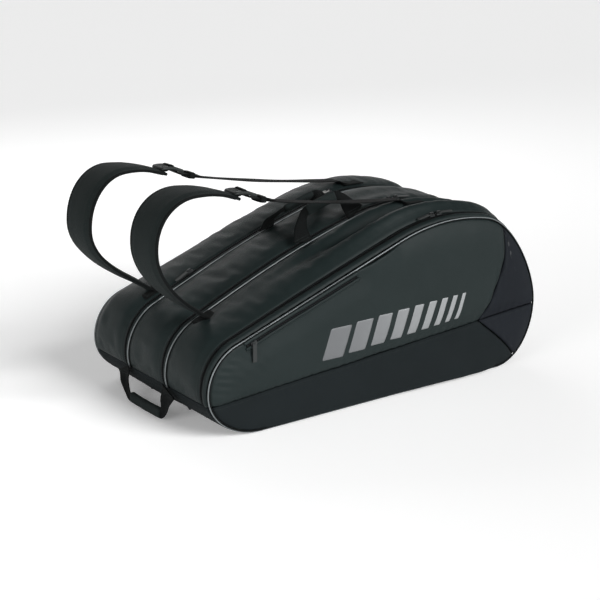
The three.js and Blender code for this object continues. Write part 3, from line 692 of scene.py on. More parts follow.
def topSheet(name, y0, y1, columns, lift, material, rows=210, depth=0.0024):
    # a strip of fabric over the whole top, from rim to rim
    points, cloth = [], []
    ys = spreadEdges(y0, y1, columns)
    for place in topRun.places(rows):
        for y in ys:
            edge = min(y - y0, y1 - y)
            out = lift(place, y) + rollAt(edge) + rollAt(min(place.s, topRun.total - place.s) + 0.001)
            points.append(onTop(place, y, out))
            cloth.append((place.s, y, 0))
    faces = gridFaces(rows, len(ys) - 1, flip=True)
    return addMesh(name, points, faces, cloth, [material, "lining"])


gusset = {
    "columns": 26, "sewnEdge": 6, "wall": 0.0024, "frames": 16, "mass": 0.25, "stretch": 12, "shear": 4,
    "bending": 2.5, "pressure": 0.2, "spare": 0.004, "cap": 0.0022,
}


def settle(pieces):
    # lets each sewn piece swell and crease between its seams, and keeps the result
    scene = bpy.context.scene
    for piece, pins in pieces:
        group = piece.vertex_groups.new(name="sewn")
        for index, weight in pins.items():
            group.add([index], weight, "REPLACE")
        cloth = piece.modifiers.new("settle", "CLOTH")
        rules = cloth.settings
        rules.vertex_group_mass = "sewn"
        rules.quality = 5
        rules.mass = gusset["mass"]
        rules.tension_stiffness = rules.compression_stiffness = gusset["stretch"]
        rules.shear_stiffness = gusset["shear"]
        rules.bending_stiffness = gusset["bending"]
        rules.shrink_min = -gusset["spare"]
        rules.use_pressure = True
        rules.uniform_pressure_force = gusset["pressure"]
        rules.effector_weights.gravity = 0
        rules.pin_stiffness = 1
        cloth.collision_settings.use_collision = False
        cloth.point_cache.frame_end = gusset["frames"]
    for step in range(1, gusset["frames"] + 1):
        scene.frame_set(step)
    graph = bpy.context.evaluated_depsgraph_get()
    for piece, _ in pieces:
        swollen = piece.evaluated_get(graph).data
        moved = []
        for before, after in zip(piece.data.vertices, swollen.vertices):
            shift = after.co - before.co
            moved.append(before.co + shift * min(1.0, gusset["cap"] / max(shift.length, 1e-9)))
        piece.modifiers.clear()
        piece.vertex_groups.clear()
        for vertex, place in zip(piece.data.vertices, moved):
            vertex.co = place
        piece.data.update()
    scene.frame_set(1)


def pinsOfSheet(columns, rows=210):
    pins = {}
    across = columns + 1
    for i in range(rows + 1):
        for k in range(across):
            if min(k, across - 1 - k) < gusset["sewnEdge"] or min(i, rows - i) < 2:
                pins[i * across + k] = 1.0
    return pins


def hinged(piece, bayName):
    # fabric of a leaning compartment, with its placement baked into the mesh
    rim = Vector((0, 0, rimAt(0)))
    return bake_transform(piece)


def follow(piece, body):
    if body in ("near_compartment", "far_compartment"):
        hinged(piece, body.split("_")[0])
    else:
        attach(piece, body)
    return piece


# Stitching

thread = {"pitch": 0.0046, "length": 0.0034, "radius": 0.00042, "sink": 0.00005}


def stitches(name, lines, body, pitch=None):
    # each line is a list of (point, normal) along a seam
    points, cloth, faces = [], [], []
    step = pitch or thread["pitch"]
    for line in lines:
        travelled, due = 0.0, 0.0
        for (a, up), (b, _) in zip(line, line[1:]):
            span = (b - a).length
            while due <= travelled + span and span > 0:
                way = (b - a) / span
                middle = a + way * (due - travelled) + up * thread["sink"]
                across = way.cross(up).normalized()
                half, r = thread["length"] / 2, thread["radius"]
                base = len(points)
                points += [middle - way * half - up * r]
                for end in (-0.55, 0.55):
                    points += [middle + way * half * end + across * r,
                               middle + way * half * end + up * r,
                               middle + way * half * end - across * r]
                points += [middle + way * half - up * r]
                cloth += [(due, k * r, 0) for k in range(8)]
                faces += [(base, base + 2, base + 1), (base, base + 3, base + 2)]
                faces += [(base + 1, base + 2, base + 5, base + 4),
                          (base + 2, base + 3, base + 6, base + 5)]
                faces += [(base + 7, base + 4, base + 5), (base + 7, base + 5, base + 6)]
                due += step
            travelled += span
    piece = addMesh(name, points, faces, cloth, ["thread"])
    return follow(piece, body)


def topLine(y, lift=None, out=0.0, start=0.004, end=0.996, steps=300):
    line = []
    for place in topRun.places(steps, start, end):
        extra = lift(place, y) if lift else 0.0
        line.append((onTop(place, y, extra + out), Vector((place.nx, 0, place.nz))))
    return line


# Gussets, zip flaps and the top zips

def gussetLift(name):
    spec = bays[name]
    y0 = spec["from"] + chain["half"]
    y1 = spec["to"] - (gap if name != "far" else 0.0032)

    def lift(place, y):
        v = clamp((y - y0) / (y1 - y0))
        return baySwell(name, place, y, v) + puckers(place.s, min(y - y0, y1 - y), spec["seed"])

    return y0, y1, lift


def buildGussets():
    columns = gusset["columns"]
    made = []
    for name, spec in bays.items():
        y0, y1, lift = gussetLift(name)
        piece = topSheet(name + "_gusset_cloth", y0, y1, columns, lift, "shell")
        made.append((piece, pinsOfSheet(columns)))
    settle(made)
    for (piece, _), (name, spec) in zip(made, bays.items()):
        refine(piece)
        thicken(piece, gusset["wall"], inner=1)
        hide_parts(name + "_gusset")
        follow(piece, spec["body"])
        y0, y1, lift = gussetLift(name)
        rows = [topLine(y0 + 0.005, lift), topLine(y0 + 0.0105, lift), topLine(y1 - 0.0045, lift)]
        stitches(name + "_gusset_stitching", rows, spec["body"])


flaps = {
    "front": {"body": "front_flap", "from": -halfDepth + 0.0033, "to": zipY["near"] - chain["half"]},
    "middle": {"body": "near_compartment", "from": nearSeam + gap,
               "to": zipY["middle"] - chain["half"]},
    "far": {"body": "tray", "from": farSeam + gap, "to": zipY["far"] - chain["half"]},
}


def buildFlaps():
    # the narrow strip between each seam and its zip
    for name, spec in flaps.items():
        y0, y1 = spec["from"], spec["to"]

        def lift(place, y):
            return 0.0009 * smooth(min(y - y0, y1 - y), 0, 0.003) + puckers(place.s,
                                                                            min(y - y0, y1 - y), 31.0)

        piece = topSheet(name + "_zip_flap", y0, y1, 10, lift, "shell")
        refine(piece)
        thicken(piece, 0.002, inner=1)
        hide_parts(name + "_zip_strip")
        follow(piece, spec["body"])
        rows = [topLine(y1 - 0.0022, lift)]
        if name == "front":
            rows.append(topLine(y1 - 0.0068, lift))
        stitches(name + "_flap_stitching", rows, spec["body"])


coil = {"pitch": 0.0021, "reach": 0.0025, "wide": 0.00075, "tall": 0.0011, "tapeHalf": 0.0075,
        "sink": 0.0016}


def coilRow(name, frames, sideSign, body):
    # one half of a nylon coil: rounded turns that reach past the middle
    points, cloth, faces = [], [], []
    ringOf = [(math.cos(a), math.sin(a)) for a in [math.pi * k / 3 for k in range(6)]]
    for index, turn in enumerate(frames):
        base = len(points)
        stops = ((coil["reach"], 0.55), (coil["reach"] * 0.85, 1.0), (0.0, 1.0),
                 (-coil["reach"] * 0.22, 0.5))
        for across, size in stops:
            for a, b in ringOf:
                local = Vector((a * coil["wide"] * size, sideSign * across,
                                b * coil["tall"] * size * 0.7 + coil["tall"] * 0.6))
                points.append(turn @ local)
                cloth.append((index * coil["pitch"], across, 0))
        for ring in range(len(stops) - 1):
            for k in range(6):
                a, b = base + ring * 6 + k, base + ring * 6 + (k + 1) % 6
                faces.append((a, b, b + 6, a + 6) if sideSign < 0 else (b, a, a + 6, b + 6))
        ends = list(range(base, base + 6)), list(range(base + 18, base + 24))
        faces.append(tuple(ends[0] if sideSign > 0 else reversed(ends[0])))
        faces.append(tuple(reversed(ends[1]) if sideSign > 0 else ends[1]))
    piece = turnOut(addMesh(name, points, faces, cloth, ["coil"]))
    return follow(piece, body)


def frameAt(point, way, up):
    across = up.cross(way).normalized()
    return Matrix.Translation(point) @ Matrix((way, across, up)).transposed().to_4x4()


def buildTopZips():
    sides = {"near": ("front_flap", "near_compartment"), "middle": ("near_compartment", "tray"),
             "far": ("tray", "far_compartment")}
    count = int((topRun.total - 0.006) / coil["pitch"])
    for name, (nearBody, farBody) in sides.items():
        y = zipY[name]
        frames = []
        for k in range(count):
            place = topRun.at((0.003 + k * coil["pitch"]) / topRun.total)
            way = Vector((place.nz, 0, -place.nx))
            frames.append(frameAt(onTop(place, y, -0.0006), way, Vector((place.nx, 0, place.nz))))
        near = coilRow(name + "_coil_front_side", frames[0::2], -1, nearBody)
        coilRow(name + "_coil_back_side", frames[1::2], 1, farBody)
        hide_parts(name + "_zip_chain")
        for sign, body, label in ((-1, nearBody, "front"), (1, farBody, "back")):
            rings = []
            for place in topRun.places(220):
                ring = [onTop(place, y + sign * across, -coil["sink"] - drop)
                        for across, drop in ((0.0005, 0), (coil["tapeHalf"], 0.001),
                                             (coil["tapeHalf"], 0.0016), (0.0005, 0.0006))]
                rings.append(ring)
            tape = loft(name + "_tape_" + label, rings, ["tape"])
            follow(tape, body)


# Piping

piping = {"radius": 0.0015}


def beadAlong(name, places, y, out, body, node=None, radius=None):
    r = radius or piping["radius"]
    section = circle(r, 12)
    rings = []
    for place in places:
        up = Vector((place.nx, 0, place.nz))
        heart = Vector((place.x, y, place.z)) + up * out(place)
        rings.append([heart + Vector((0, a, 0)) + up * b for a, b in section])
    piece = loft(name, rings, ["piping"])
    follow(piece, body)
    if node:
        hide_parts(node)
    return piece


def edgingAlong(name, places, y, out, body, lean):
    # the dark folded tape that holds the bead, sewn beside it
    rings = []
    for place in places:
        up = Vector((place.nx, 0, place.nz))
        heart = Vector((place.x, y, place.z)) + up * out(place)
        section = ((0.0, 0.0011), (0.6, 0.0009), (1.0, 0.0), (0.6, -0.0014), (0.0, -0.0018),
                   (-0.4, -0.0006))
        rings.append([heart + Vector((0, lean * a * 0.0034, 0)) + up * b for a, b in section])
    piece = loft(name, rings, ["binding"])
    return follow(piece, body)


def buildPiping():
    steps = 230
    for name, y, body in (("middle", nearSeam, "near_compartment"), ("far", farSeam, "tray")):
        places = topRun.places(steps)
        beadAlong(name + "_seam_piping", places, y, lambda p: crown(p, y) + 0.0013, body,
                  name + "_piping")
        edgingAlong(name + "_seam_edging", places, y - 0.0019, lambda p: crown(p, y) + 0.0006, body, -1)
    edgeOut = -0.0028
    for name, sign, body in (("front", -1, "front_flap"), ("rear", 1, "far_compartment")):
        y = sign * (halfDepth + piping["radius"] + gap)
        beadAlong(name + "_edge_piping", topRun.places(steps), y, lambda p: edgeOut, body,
                  name + "_piping")
        edgingAlong(name + "_edge_edging", topRun.places(steps), y + sign * 0.0002,
                    lambda p: edgeOut - 0.0012, body, sign)
        beadAlong(name + "_base_piping", baseRun.places(170), y, lambda p: edgeOut, "tray",
                  name + "_lower_piping")
        edgingAlong(name + "_base_edging", baseRun.places(170), y + sign * 0.0002,
                    lambda p: edgeOut - 0.0012, "tray", sign)


# The front and rear faces

face = {
    "bulge": 0.0085, "deepBulge": 0.0070, "reach": 0.060, "atRim": 0.0062, "edge": 0.0052,
    "spacing": 0.0042, "rings": 34, "depth": 0.0024,
}
slot = {"start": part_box("slot_zip_chain")[0], "end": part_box("slot_zip_chain")[1], "half": 0.0085,
        "ease": 0.020}
slotFrom = Vector((slot["start"].x, 0, slot["start"].z + 0.0024))
slotTo = Vector((slot["end"].x, 0, slot["end"].z - 0.0024))
outlineTree = KDTree(len(upperLine) + len(lowerLine))
for number, point in enumerate(upperLine + lowerLine):
    outlineTree.insert((point.x, 0, point.y), number)
outlineTree.balance()


def awayFromLine(x, z, a, b):
    # distance to the straight line from a to b, and the share along it
    way = b - a
    t = clamp(((x - a.x) * way.x + (z - a.z) * way.z) / (way.x ** 2 + way.z ** 2))
    return math.hypot(x - a.x - way.x * t, z - a.z - way.z * t), t


deepSeam = [Vector(p) for p in ((0.289, 0.288), (0.288, 0.256), (0.287, 0.227), (0.282, 0.208),
                                (0.276, 0.189),
                                (0.264, 0.163), (0.255, 0.143), (0.243, 0.121),
                                (0.2330, rimAt(0.2330)))]
baseSeam = [Vector(p) for p in ((0.2330, rimAt(0.2330)), (0.262, 0.082), (0.296, 0.052),
                                (0.332, 0.0155))]


seamTree = KDTree(802)
for number in range(401):
    for row, line in enumerate((deepSeam, baseSeam)):
        point = Run(line, trim=0).point(number / 400 * 0.25)
        seamTree.insert((point.x, 0, point.y), 2 * number + row)
seamTree.balance()


def awayFromSeams(x, z):
    return min(abs(z - rimAt(x)), seamTree.find((x, 0, z))[2])


def faceOut(x, z, front=True):
    # how far a face stands out from the seam plane
    _, _, d = outlineTree.find((x, 0, z))
    full = face["bulge"] + face["deepBulge"] * smooth(x, -0.12, 0.25)
    out = full * (1 - (1 - min(1, d / face["reach"])) ** 2) ** 0.8
    rim = z - rimAt(x)
    out -= max(0, out - face["atRim"]) * math.exp(-(rim / 0.022) ** 2)
    if front:
        fromZip, _ = awayFromLine(x, z, slotFrom, slotTo)
        out = lerp(0.0040, out, smooth(fromZip, 0.004, slot["ease"] + 0.03)) if fromZip < 0.05 else out
        # the pull hangs over this part
        out = min(out, lerp(0.0085, 0.05, smooth(x, -0.27, -0.20)))
    seam = awayFromSeams(x, z)
    out -= 0.0016 * math.exp(-(seam / 0.0028) ** 2)
    soft = smooth(d, 0.004, 0.03)
    seed = 1.0 if front else 23.0
    out += soft * (0.0020 * folds(x, z, 0, 0.12, seed) + 0.0011 * folds(x * 1.4, z, 0, 0.045, seed + 3))
    crease = hump(x, -0.355, 0.028) * smooth(z, 0.075, 0.09) * (1 - smooth(z, 0.145, 0.17))
    out += 0.0012 * crease * math.sin(2 * math.pi * (z + 0.25 * (x + 0.36)) / 0.0135) * soft
    slant = hump(x, -0.29, 0.05) * hump(z, 0.125, 0.028)
    out += 0.0008 * slant * math.sin(2 * math.pi * (z + 0.8 * x) / 0.024)
    away = math.exp(-seam / 0.012)
    out += 0.00075 * away * math.sin(2 * math.pi * x / 0.019 + 4
                                     * noise.noise(Vector((x * 11, z * 4, seed)))) * soft
    edge = math.exp(-max(0, d - 0.005) / 0.010)
    out += 0.0005 * edge * math.sin(2 * math.pi * (x + z) / 0.017 + 4
                                    * noise.noise(Vector((x * 9, z * 9, seed + 1))))
    return out


def facePoint(x, z, sign, extra=0.0):
    return Vector((x, sign * (halfDepth + faceOut(x, z, sign < 0) + extra), z))


def evenly(points, spacing):
    run = Run(points, trim=0)
    steps = max(2, round(run.total / spacing))
    return [run.point(run.total * k / steps) for k in range(steps)]


def patch(name, boundary, centre, sign, materials, body, node=None, rings=None):
    # fills a sewn outline with rings of quads that shrink to its middle
    rings = rings or face["rings"]
    count = len(boundary)
    points, cloth, faces = [], [], []
    edgeTree = KDTree(count)
    for k, p in enumerate(boundary):
        edgeTree.insert((p.x, 0, p.y), k)
    edgeTree.balance()
    for ring in range(rings):
        share = 1 - (ring / rings) ** 1.35
        for p in boundary:
            x, z = lerp(centre[0], p.x, share), lerp(centre[1], p.y, share)
            near = edgeTree.find((x, 0, z))[2] if ring < 6 else 1.0
            roll = rollAt(near, 0.0022, 0.0035) if ring else -0.0030
            points.append(facePoint(x, z, sign, roll))
            cloth.append((x, z, 0))
    points.append(facePoint(centre[0], centre[1], sign))
    cloth.append((*centre, 0))
    for ring in range(rings - 1):
        for k in range(count):
            a, b = ring * count + k, ring * count + (k + 1) % count
            quad = (a, b, b + count, a + count)
            faces.append(quad if sign > 0 else tuple(reversed(quad)))
    last = (rings - 1) * count
    for k in range(count):
        tri = (last + k, last + (k + 1) % count, len(points) - 1)
        faces.append(tri if sign > 0 else tuple(reversed(tri)))
    piece = addMesh(name, points, faces, cloth, materials)
    thicken(piece, face["depth"], inner=len(materials) - 1)
    if node:
        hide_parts(node)
    return follow(piece, body)


def inset(run, start, end, depth, steps=400):
    return [Vector((p.x - p.nx * depth, p.z - p.nz * depth)) for p in run.places(steps, start, end)]


def shareNear(run, x, z):
    best = min(run.places(800), key=lambda p: (p.x - x) ** 2 + (p.z - z) ** 2)
    return best.t


def shifted(line, distance):
    # a seam line moved sideways by a distance
    moved = []
    for k, p in enumerate(line):
        a, b = line[max(0, k - 1)], line[min(len(line) - 1, k + 1)]
        way = (b - a).normalized()
        moved.append(p + Vector((-way.y, way.x)) * distance)
    return moved


def rimLine(x0, x1, lift):
    return [Vector((lerp(x0, x1, k / 60), rimAt(lerp(x0, x1, k / 60)) + lift)) for k in range(61)]


def within(line):
    # only the part of a seam that lies inside the border
    return [p for p in line if outlineTree.find((p.x, 0, p.y))[2] > face["edge"] * 1.02]


def smoothLine(line, times=2):
    for _ in range(times):
        cut = [line[0]]
        for a, b in zip(line, line[1:]):
            cut += [a.lerp(b, 0.25), a.lerp(b, 0.75)]
        line = cut + [line[-1]]
    return line


def buildFaces():
    edge = face["edge"]
    topCut, baseCut = shareNear(topRun, 0.289, 0.287), shareNear(baseRun, 0.332, 0.016)
    seam, low = smoothLine(deepSeam), smoothLine(baseSeam)
    join, sewnIn = 0.0005, 0.0052
    for label, sign, body, node in (("front", -1, "front_flap", "front"),
                                    ("rear", 1, "far_compartment", "rear")):
        left, right = topRun.at(0), topRun.at(1)
        mainTop = inset(topRun, 0.002, topCut, edge)
        main = mainTop + within(shifted(seam, -join) + list(reversed(rimLine(left.x, 0.2325, join))))
        patch(label + "_main_panel", evenly(main + [main[0]], face["spacing"]), (-0.02, 0.16), sign,
              ["shell", "lining"], body, node + "_panel", rings=44)
        deepTop = inset(topRun, topCut, 0.998, edge)
        deep = deepTop + within(list(reversed(rimLine(0.2335, right.x, join)))
                                + list(reversed(shifted(seam, join)))[1:])
        patch(label + "_deep_end_panel", evenly(deep + [deep[0]], face["spacing"]), (0.318, 0.175),
              sign,
              ["deepEnd", "lining"], body, rings=26)
        # the base run goes from the deep end round under the bag to the narrow end
        lowDeep = inset(baseRun, 0.004, baseCut, edge)
        deepLow = lowDeep + within(list(reversed(shifted(low, join))) + rimLine(0.2335, right.x, -join))
        patch(label + "_deep_base_panel", evenly(deepLow + [deepLow[0]], face["spacing"]),
              (0.318, 0.082), sign,
              ["deepEnd", "lining"], "tray", rings=22)
        lowMain = inset(baseRun, baseCut, 0.996, edge)
        band = lowMain + within(rimLine(left.x, 0.2325, -join) + shifted(low, -join)[1:])
        patch(label + "_base_band", evenly(band + [band[0]], face["spacing"]), (-0.06, 0.045), sign,
              ["coarse", "lining"], "tray", node + "_lower_panel", rings=30)

        def sewn(line):
            return [(facePoint(p.x, p.y, sign, 0.0001), Vector((0, sign, 0))) for p in line]

        rows = [sewn(rimLine(left.x + 0.012, 0.228, sewnIn))]
        for off in (sewnIn, -sewnIn):
            rows.append(sewn(evenly([p for p in shifted(seam, off) if p.y < 0.278], 0.004)))
        rows.append(sewn(inset(topRun, 0.01, 0.985, edge + 0.0045)))
        stitches(label + "_panel_stitching", rows, body)
        lower = [sewn(rimLine(left.x + 0.012, right.x - 0.012, -sewnIn))]
        stitches(label + "_base_stitching", lower, "tray")


def buildBase():
    # a woven pan that wraps under the bag from rim to rim
    points, cloth = [], []
    rows, ys = 190, spreadEdges(-halfDepth + 0.0028, halfDepth - 0.0028, 44)
    for place in baseRun.places(rows):
        for y in ys:
            edge = min(y - ys[0], ys[-1] - y)
            flat = smooth(place.z, 0.004, 0.03)
            out = rollAt(edge) + rollAt(min(place.s, baseRun.total - place.s) + 0.0012)
            out += flat * (0.0022 * folds(place.x, y, place.z, 0.09, 4.0) + puckers(place.s, edge,
                                                                                    13.0))
            points.append(Vector((place.x + place.nx * out, y, max(0.0006, place.z + place.nz * out))))
            cloth.append((place.s, y, 0))
    faces = gridFaces(rows, len(ys) - 1, flip=True)
    piece = addMesh("base_pan", points, faces, cloth, ["coarse", "lining"])
    refine(piece)
    thicken(piece, 0.0024, inner=1)
    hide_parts("base_panel")
    follow(piece, "tray")
    rows = []
    for share in (0.0125, 1 - 0.0125):
        place = baseRun.at(share)
        rows.append([(Vector((place.x + place.nx * 0.0008, y, place.z + place.nz * 0.0008)),
                      Vector((place.nx, 0, place.nz))) for y in spreadEdges(-halfDepth + 0.012,
                                                                            halfDepth - 0.012, 90,
                                                                            1.0)])
    stitches("tray_rim_stitching", rows, "tray")
    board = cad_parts["base_board"]
    board.data.materials.clear()
    board.data.materials.append(finish["board"])


# The slot pocket's zip and the printed bars on the front

def buildSlotZip():
    way = (slotTo - slotFrom).normalized()
    length = (slotTo - slotFrom).length
    up = Vector((0, -1, 0))
    def spot(d, across, out):
        x, z = slotFrom.x + way.x * d - way.z * across, slotFrom.z + way.z * d + way.x * across
        return facePoint(x, z, -1, out)

    frames = []
    for k in range(int(length / coil["pitch"])):
        frames.append(frameAt(spot(k * coil["pitch"], 0, 0.0008), way, up))
    bed = []
    for k in range(121):
        d = lerp(-0.002, length + 0.003, k / 120)
        bed.append([spot(d, a, b) for a, b in ((-0.0045, 0.0), (-0.0045, 0.0007), (0.0045, 0.0007),
                                               (0.0045, 0.0))])
    follow(loft("slot_tape", bed, ["tape"]), "front_flap")
    low = coilRow("slot_coil_low_side", frames[0::2], 1, "front_flap")
    coilRow("slot_coil_high_side", frames[1::2], -1, "front_flap")
    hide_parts("slot_zip_chain")
    # turned-in lips on both sides of the opening
    for label, sign in (("high", 1), ("low", -1)):
        rings = []
        for k in range(121):
            d = lerp(-0.004, length + 0.006, k / 120)
            section = ((0.0030, 0.0004), (0.0031, 0.0021), (0.0044, 0.0029), (0.0072, 0.0022),
                       (0.0094, 0.0),
                       (0.0070, -0.0012), (0.0036, -0.0012))
            rings.append([spot(d, sign * a, b) for a, b in section])
        piece = loft("slot_lip_" + label, rings, ["shell"])
        follow(piece, "front_flap")
    around = []
    r = slot["half"] + 0.0030
    for k in range(90):
        around.append((lerp(-0.004, length - 0.001, k / 89), -r))
    for k in range(1, 24):
        a = -math.pi / 2 + math.pi * k / 24
        around.append((length - 0.001 + r * 1.3 * math.cos(a), r * math.sin(a)))
    for k in range(90):
        around.append((lerp(length - 0.001, -0.004, k / 89), r))
    stitches("slot_stitching", [[(spot(d, a, 0.0001), up) for d, a in around]], "front_flap")


bars = {
    "left": -0.140, "right": 0.203, "count": 9, "lean": 0.34, "shrink": 0.88, "fill": (0.80, 0.42),
    "above": 0.022, "tall": 0.057, "lower": 0.001, "rise": 0.00055, "columns": 8, "rows": 16,
}


def buildGraphic():
    # slanted bars that narrow along the bag
    points, cloth, faces = [], [], []
    count, shrink, columns, rows = bars["count"], bars["shrink"], bars["columns"], bars["rows"]
    total = sum(shrink ** k for k in range(count))
    x = bars["left"]
    wide = bars["right"] - bars["left"] - bars["lean"] * 0.05
    for k in range(count):
        step = wide * shrink ** k / total
        width = step * lerp(*bars["fill"], k / (count - 1))
        low = rimAt(x) + bars["above"]
        high = low + bars["tall"] - bars["lower"] * k
        faces += gridFaces(rows, columns, base=len(points))
        for j in range(rows + 1):
            z = lerp(low, high, j / rows)
            for i in range(columns + 1):
                px = x + width * i / columns + bars["lean"] * (z - low)
                edge = i in (0, columns) or j in (0, rows)
                points.append(facePoint(px, z, -1, 0.0001 if edge else bars["rise"]))
                cloth.append((px, z, 0))
        x += step
    piece = addMesh("front_graphic", points, faces, cloth, ["print"])
    refine(piece)
    thicken(piece, 0.0009)
    follow(piece, "front_flap")


# Shoulder straps

strap = {
    "width": 0.086, "foot": 0.038, "tip": 0.044, "thick": 0.0105, "tipThick": 0.006, "lift": 0.012,
    "lean": (-0.82, 0.57), "webWidth": 0.026, "webThick": 0.0016, "sag": 0.014,
}
straps = {
    "near": {"y": middleOf("near_strap_buckle").y, "foot": -0.312, "nose": (-0.431, 0.335),
             "crest": (-0.350, 0.420),
             "tip": (-0.250, 0.397), "anchor": 0.150, "seed": 1.0},
    "far": {"y": middleOf("far_strap_buckle").y, "foot": -0.309, "nose": (-0.452, 0.335),
            "crest": (-0.375, 0.430),
            "tip": (-0.282, 0.410), "anchor": 0.150, "seed": 8.0},
}


def padLine(spec):
    foot = onTop(topRun.at(topShare(spec["foot"], spec["y"])), spec["y"])
    leanX, leanZ = strap["lean"]
    start = Vector((foot.x + leanX * strap["lift"], foot.z + strap["lift"]))
    nose, crest, tip = Vector(spec["nose"]), Vector(spec["crest"]), Vector(spec["tip"])
    drop = (tip.y - crest.y) * 0.55
    line = bezier(start, start + Vector((leanX, leanZ)) * 0.060, nose - Vector((0, 0.062)), nose)
    line += bezier(nose, nose + Vector((0, 0.052)), crest - Vector((0.045, 0)), crest)[1:]
    line += bezier(crest, crest + Vector((0.035, 0)), tip - Vector((0.032, drop)), tip)[1:]
    return foot, line


def padWidth(t):
    grow = smooth(t, 0, 0.3)
    return strap["foot"] + (strap["width"] - strap["foot"]) * grow - (strap["width"]
                                                                      - strap["tip"]) * smooth(t, 0.75,
                                                                                               1)


def padRise(place, edge):
    # how far the padding stands out at a distance from its edge
    half = padWidth(place.t) / 2 - 0.001
    fill = clamp(min(5 * place.t, 5 * (1 - place.t)))
    thick = lerp(strap["tipThick"], strap["thick"], fill) / 2
    dome = smooth(edge, -0.001, 0.011) * (0.62 + 0.38 * (1 - (1 - edge / half) ** 2))
    return 0.0014 + thick * 0.92 * dome


def buildStrap(name):
    spec = straps[name]
    body = name + "_strap"
    y = spec["y"]
    foot, line = padLine(spec)
    run = Run(line, trim=0)
    steps = 190
    places = run.places(steps)

    def spread(place, across, out):
        return Vector((place.x + place.nx * out, y + across, place.z + place.nz * out))

    def bend(place):
        a, b = run.at(max(0, place.t - 0.02)), run.at(min(1, place.t + 0.02))
        return (a.nx * b.nz - a.nz * b.nx) / max(1e-6, b.s - a.s)

    across = 18
    rings = []
    for place in places:
        half = padWidth(place.t) / 2 - 0.001
        tight = smooth(abs(bend(place)), 8, 22)
        ring = []
        for top in (1, -1):
            for k in range(across + 1):
                v = k / across if top > 0 else 1 - k / across
                u = 2 * v - 1
                edge = (1 - abs(u)) * half
                dimple = 0.0018 * math.exp(-(((edge - 0.0095) / 0.0016) ** 2))
                wrinkle = 0.0007 * folds(place.s, u * half, top, 0.03, spec["seed"])
                wrinkle += 0.0009 * folds(place.s, u * half, top, 0.075, spec["seed"] + 2)
                if top < 0:
                    wrinkle += 0.0013 * tight * math.sin(2 * math.pi * place.s / 0.017 + 2 * u)
                height = max(0.0012, padRise(place, edge) - dimple + wrinkle * smooth(edge, 0, 0.012))
                ring.append(spread(place, u * half, top * height))
        rings.append(ring)
    count = len(rings[0])
    pad = loft(name + "_pad", rings, ["padFace", "padBack"],
               pick=lambda i: 0 if (i % count) < across + 1 else 1)
    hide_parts(body + "_pad")
    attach(pad, body)

    # tape folded over both edges of the pad
    for label, sign in (("near", -1), ("far", 1)):
        tape = []
        for place in places:
            half = padWidth(place.t) / 2
            r = 0.0026
            section = [(0.0009, 0.0), (0.0004, r * 0.75), (-0.0012, r), (-0.0034, r * 1.04),
                       (-0.0052, r * 0.9), (-0.0052, 0.0008),
                       (-0.0052, -0.0008), (-0.0052, -r * 0.9), (-0.0034, -r * 1.04), (-0.0012, -r),
                       (0.0004, -r * 0.75)]
            tape.append([spread(place, sign * (half + a), b) for a, b in section])
        piece = loft(name + "_pad_binding_" + label, tape, ["binding"])
        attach(piece, body)
    rows = []
    for top in (1, -1):
        for sign in (-1, 1):
            for off in (0.0032, 0.0105):
                rows.append([])
                for place in run.places(steps, 0.03, 0.975):
                    half = padWidth(place.t) / 2 - off
                    height = 0.0025 if off < 0.006 else padRise(place, off - 0.001) - 0.0009
                    up = Vector((place.nx, 0, place.nz)) * top
                    rows[-1].append((spread(place, sign * half, top * height), up))
    stitches(name + "_pad_stitching", rows, body)

    # webbing from the pad's foot down to the bag
    start = run.at(0)
    root = []
    for k in range(15):
        t = k / 14
        p = Vector((start.x, start.z)).lerp(Vector((foot.x + 0.004, foot.z + 0.0026)), t)
        p = p + Vector((0.0035, -0.002)) * math.sin(math.pi * t)
        root.append(p)
    ribbon(name + "_root_webbing", root, y, lambda t: 0.034 - 0.002 * t, body)

    # adjuster webbing from the tip to the anchor, with its spare end folded back
    tip = Vector(spec["tip"])
    land = onTop(topRun.at(topShare(spec["anchor"], y)), y)
    end = Vector((land.x - 0.034, land.z + 0.012))
    first = Vector((tip.x + 0.003, tip.y - 0.0012))
    middle = (first + end) / 2 - Vector((0, strap["sag"]))
    path = [first.lerp(middle, k / 60).lerp(middle.lerp(end, k / 60), k / 60) for k in range(61)]
    # through the ladder of the buckle, then on to the bag
    slope = math.atan2(middle.y - first.y, middle.x - first.x)
    turn = Vector((math.cos(slope), math.sin(slope)))
    rise = Vector((-turn.y, turn.x))
    heart = Vector((tip.x + 0.046 / 3, tip.y + 0.007))
    ladder = [(-0.030, -0.0085), (-0.020, -0.0070), (-0.0065, -0.0055), (-0.0050, 0.0),
              (-0.0035, 0.0045), (0.0, 0.0052),
              (0.0035, 0.0045), (0.0052, 0.0), (0.0070, -0.0055), (0.022, -0.0082)]
    lead = [heart + turn * a + rise * b for a, b in ladder]
    lead = smoothLine(lead, 2)
    after = [p for p in path if (p - lead[-1]).dot(turn) > 0.02]
    landing = [end.lerp(Vector((land.x - 0.012, land.z + 0.0042)), 0.5) + Vector((0, -0.002)),
               Vector((land.x - 0.012, land.z + 0.0040))]
    whole = lead + after + smoothLine([end] + landing, 1)[1:]
    piece = ribbon(name + "_adjuster_webbing", whole, y, lambda t: strap["webWidth"], body)
    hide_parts(body + "_webbing")
    tail = [heart + turn * a + rise * b for a, b in ((-0.0046, 0.0050), (0.0005, 0.0068),
                                                     (0.0045, 0.0040), (0.0075, -0.0020))]
    for k, p in enumerate(path):
        along = (p - heart).dot(turn)
        if 0.018 < along < 0.076:
            t = (along - 0.018) / 0.058
            tail.append(p + rise * (0.0019 + 0.0028 * math.sin(math.pi * clamp(t * 1.1)) ** 2))
    ribbon(name + "_spare_webbing", smoothLine(tail, 2), y, lambda t: strap["webWidth"] - 0.001, body)
    buildBuckle(name, body, heart, turn, rise, y)

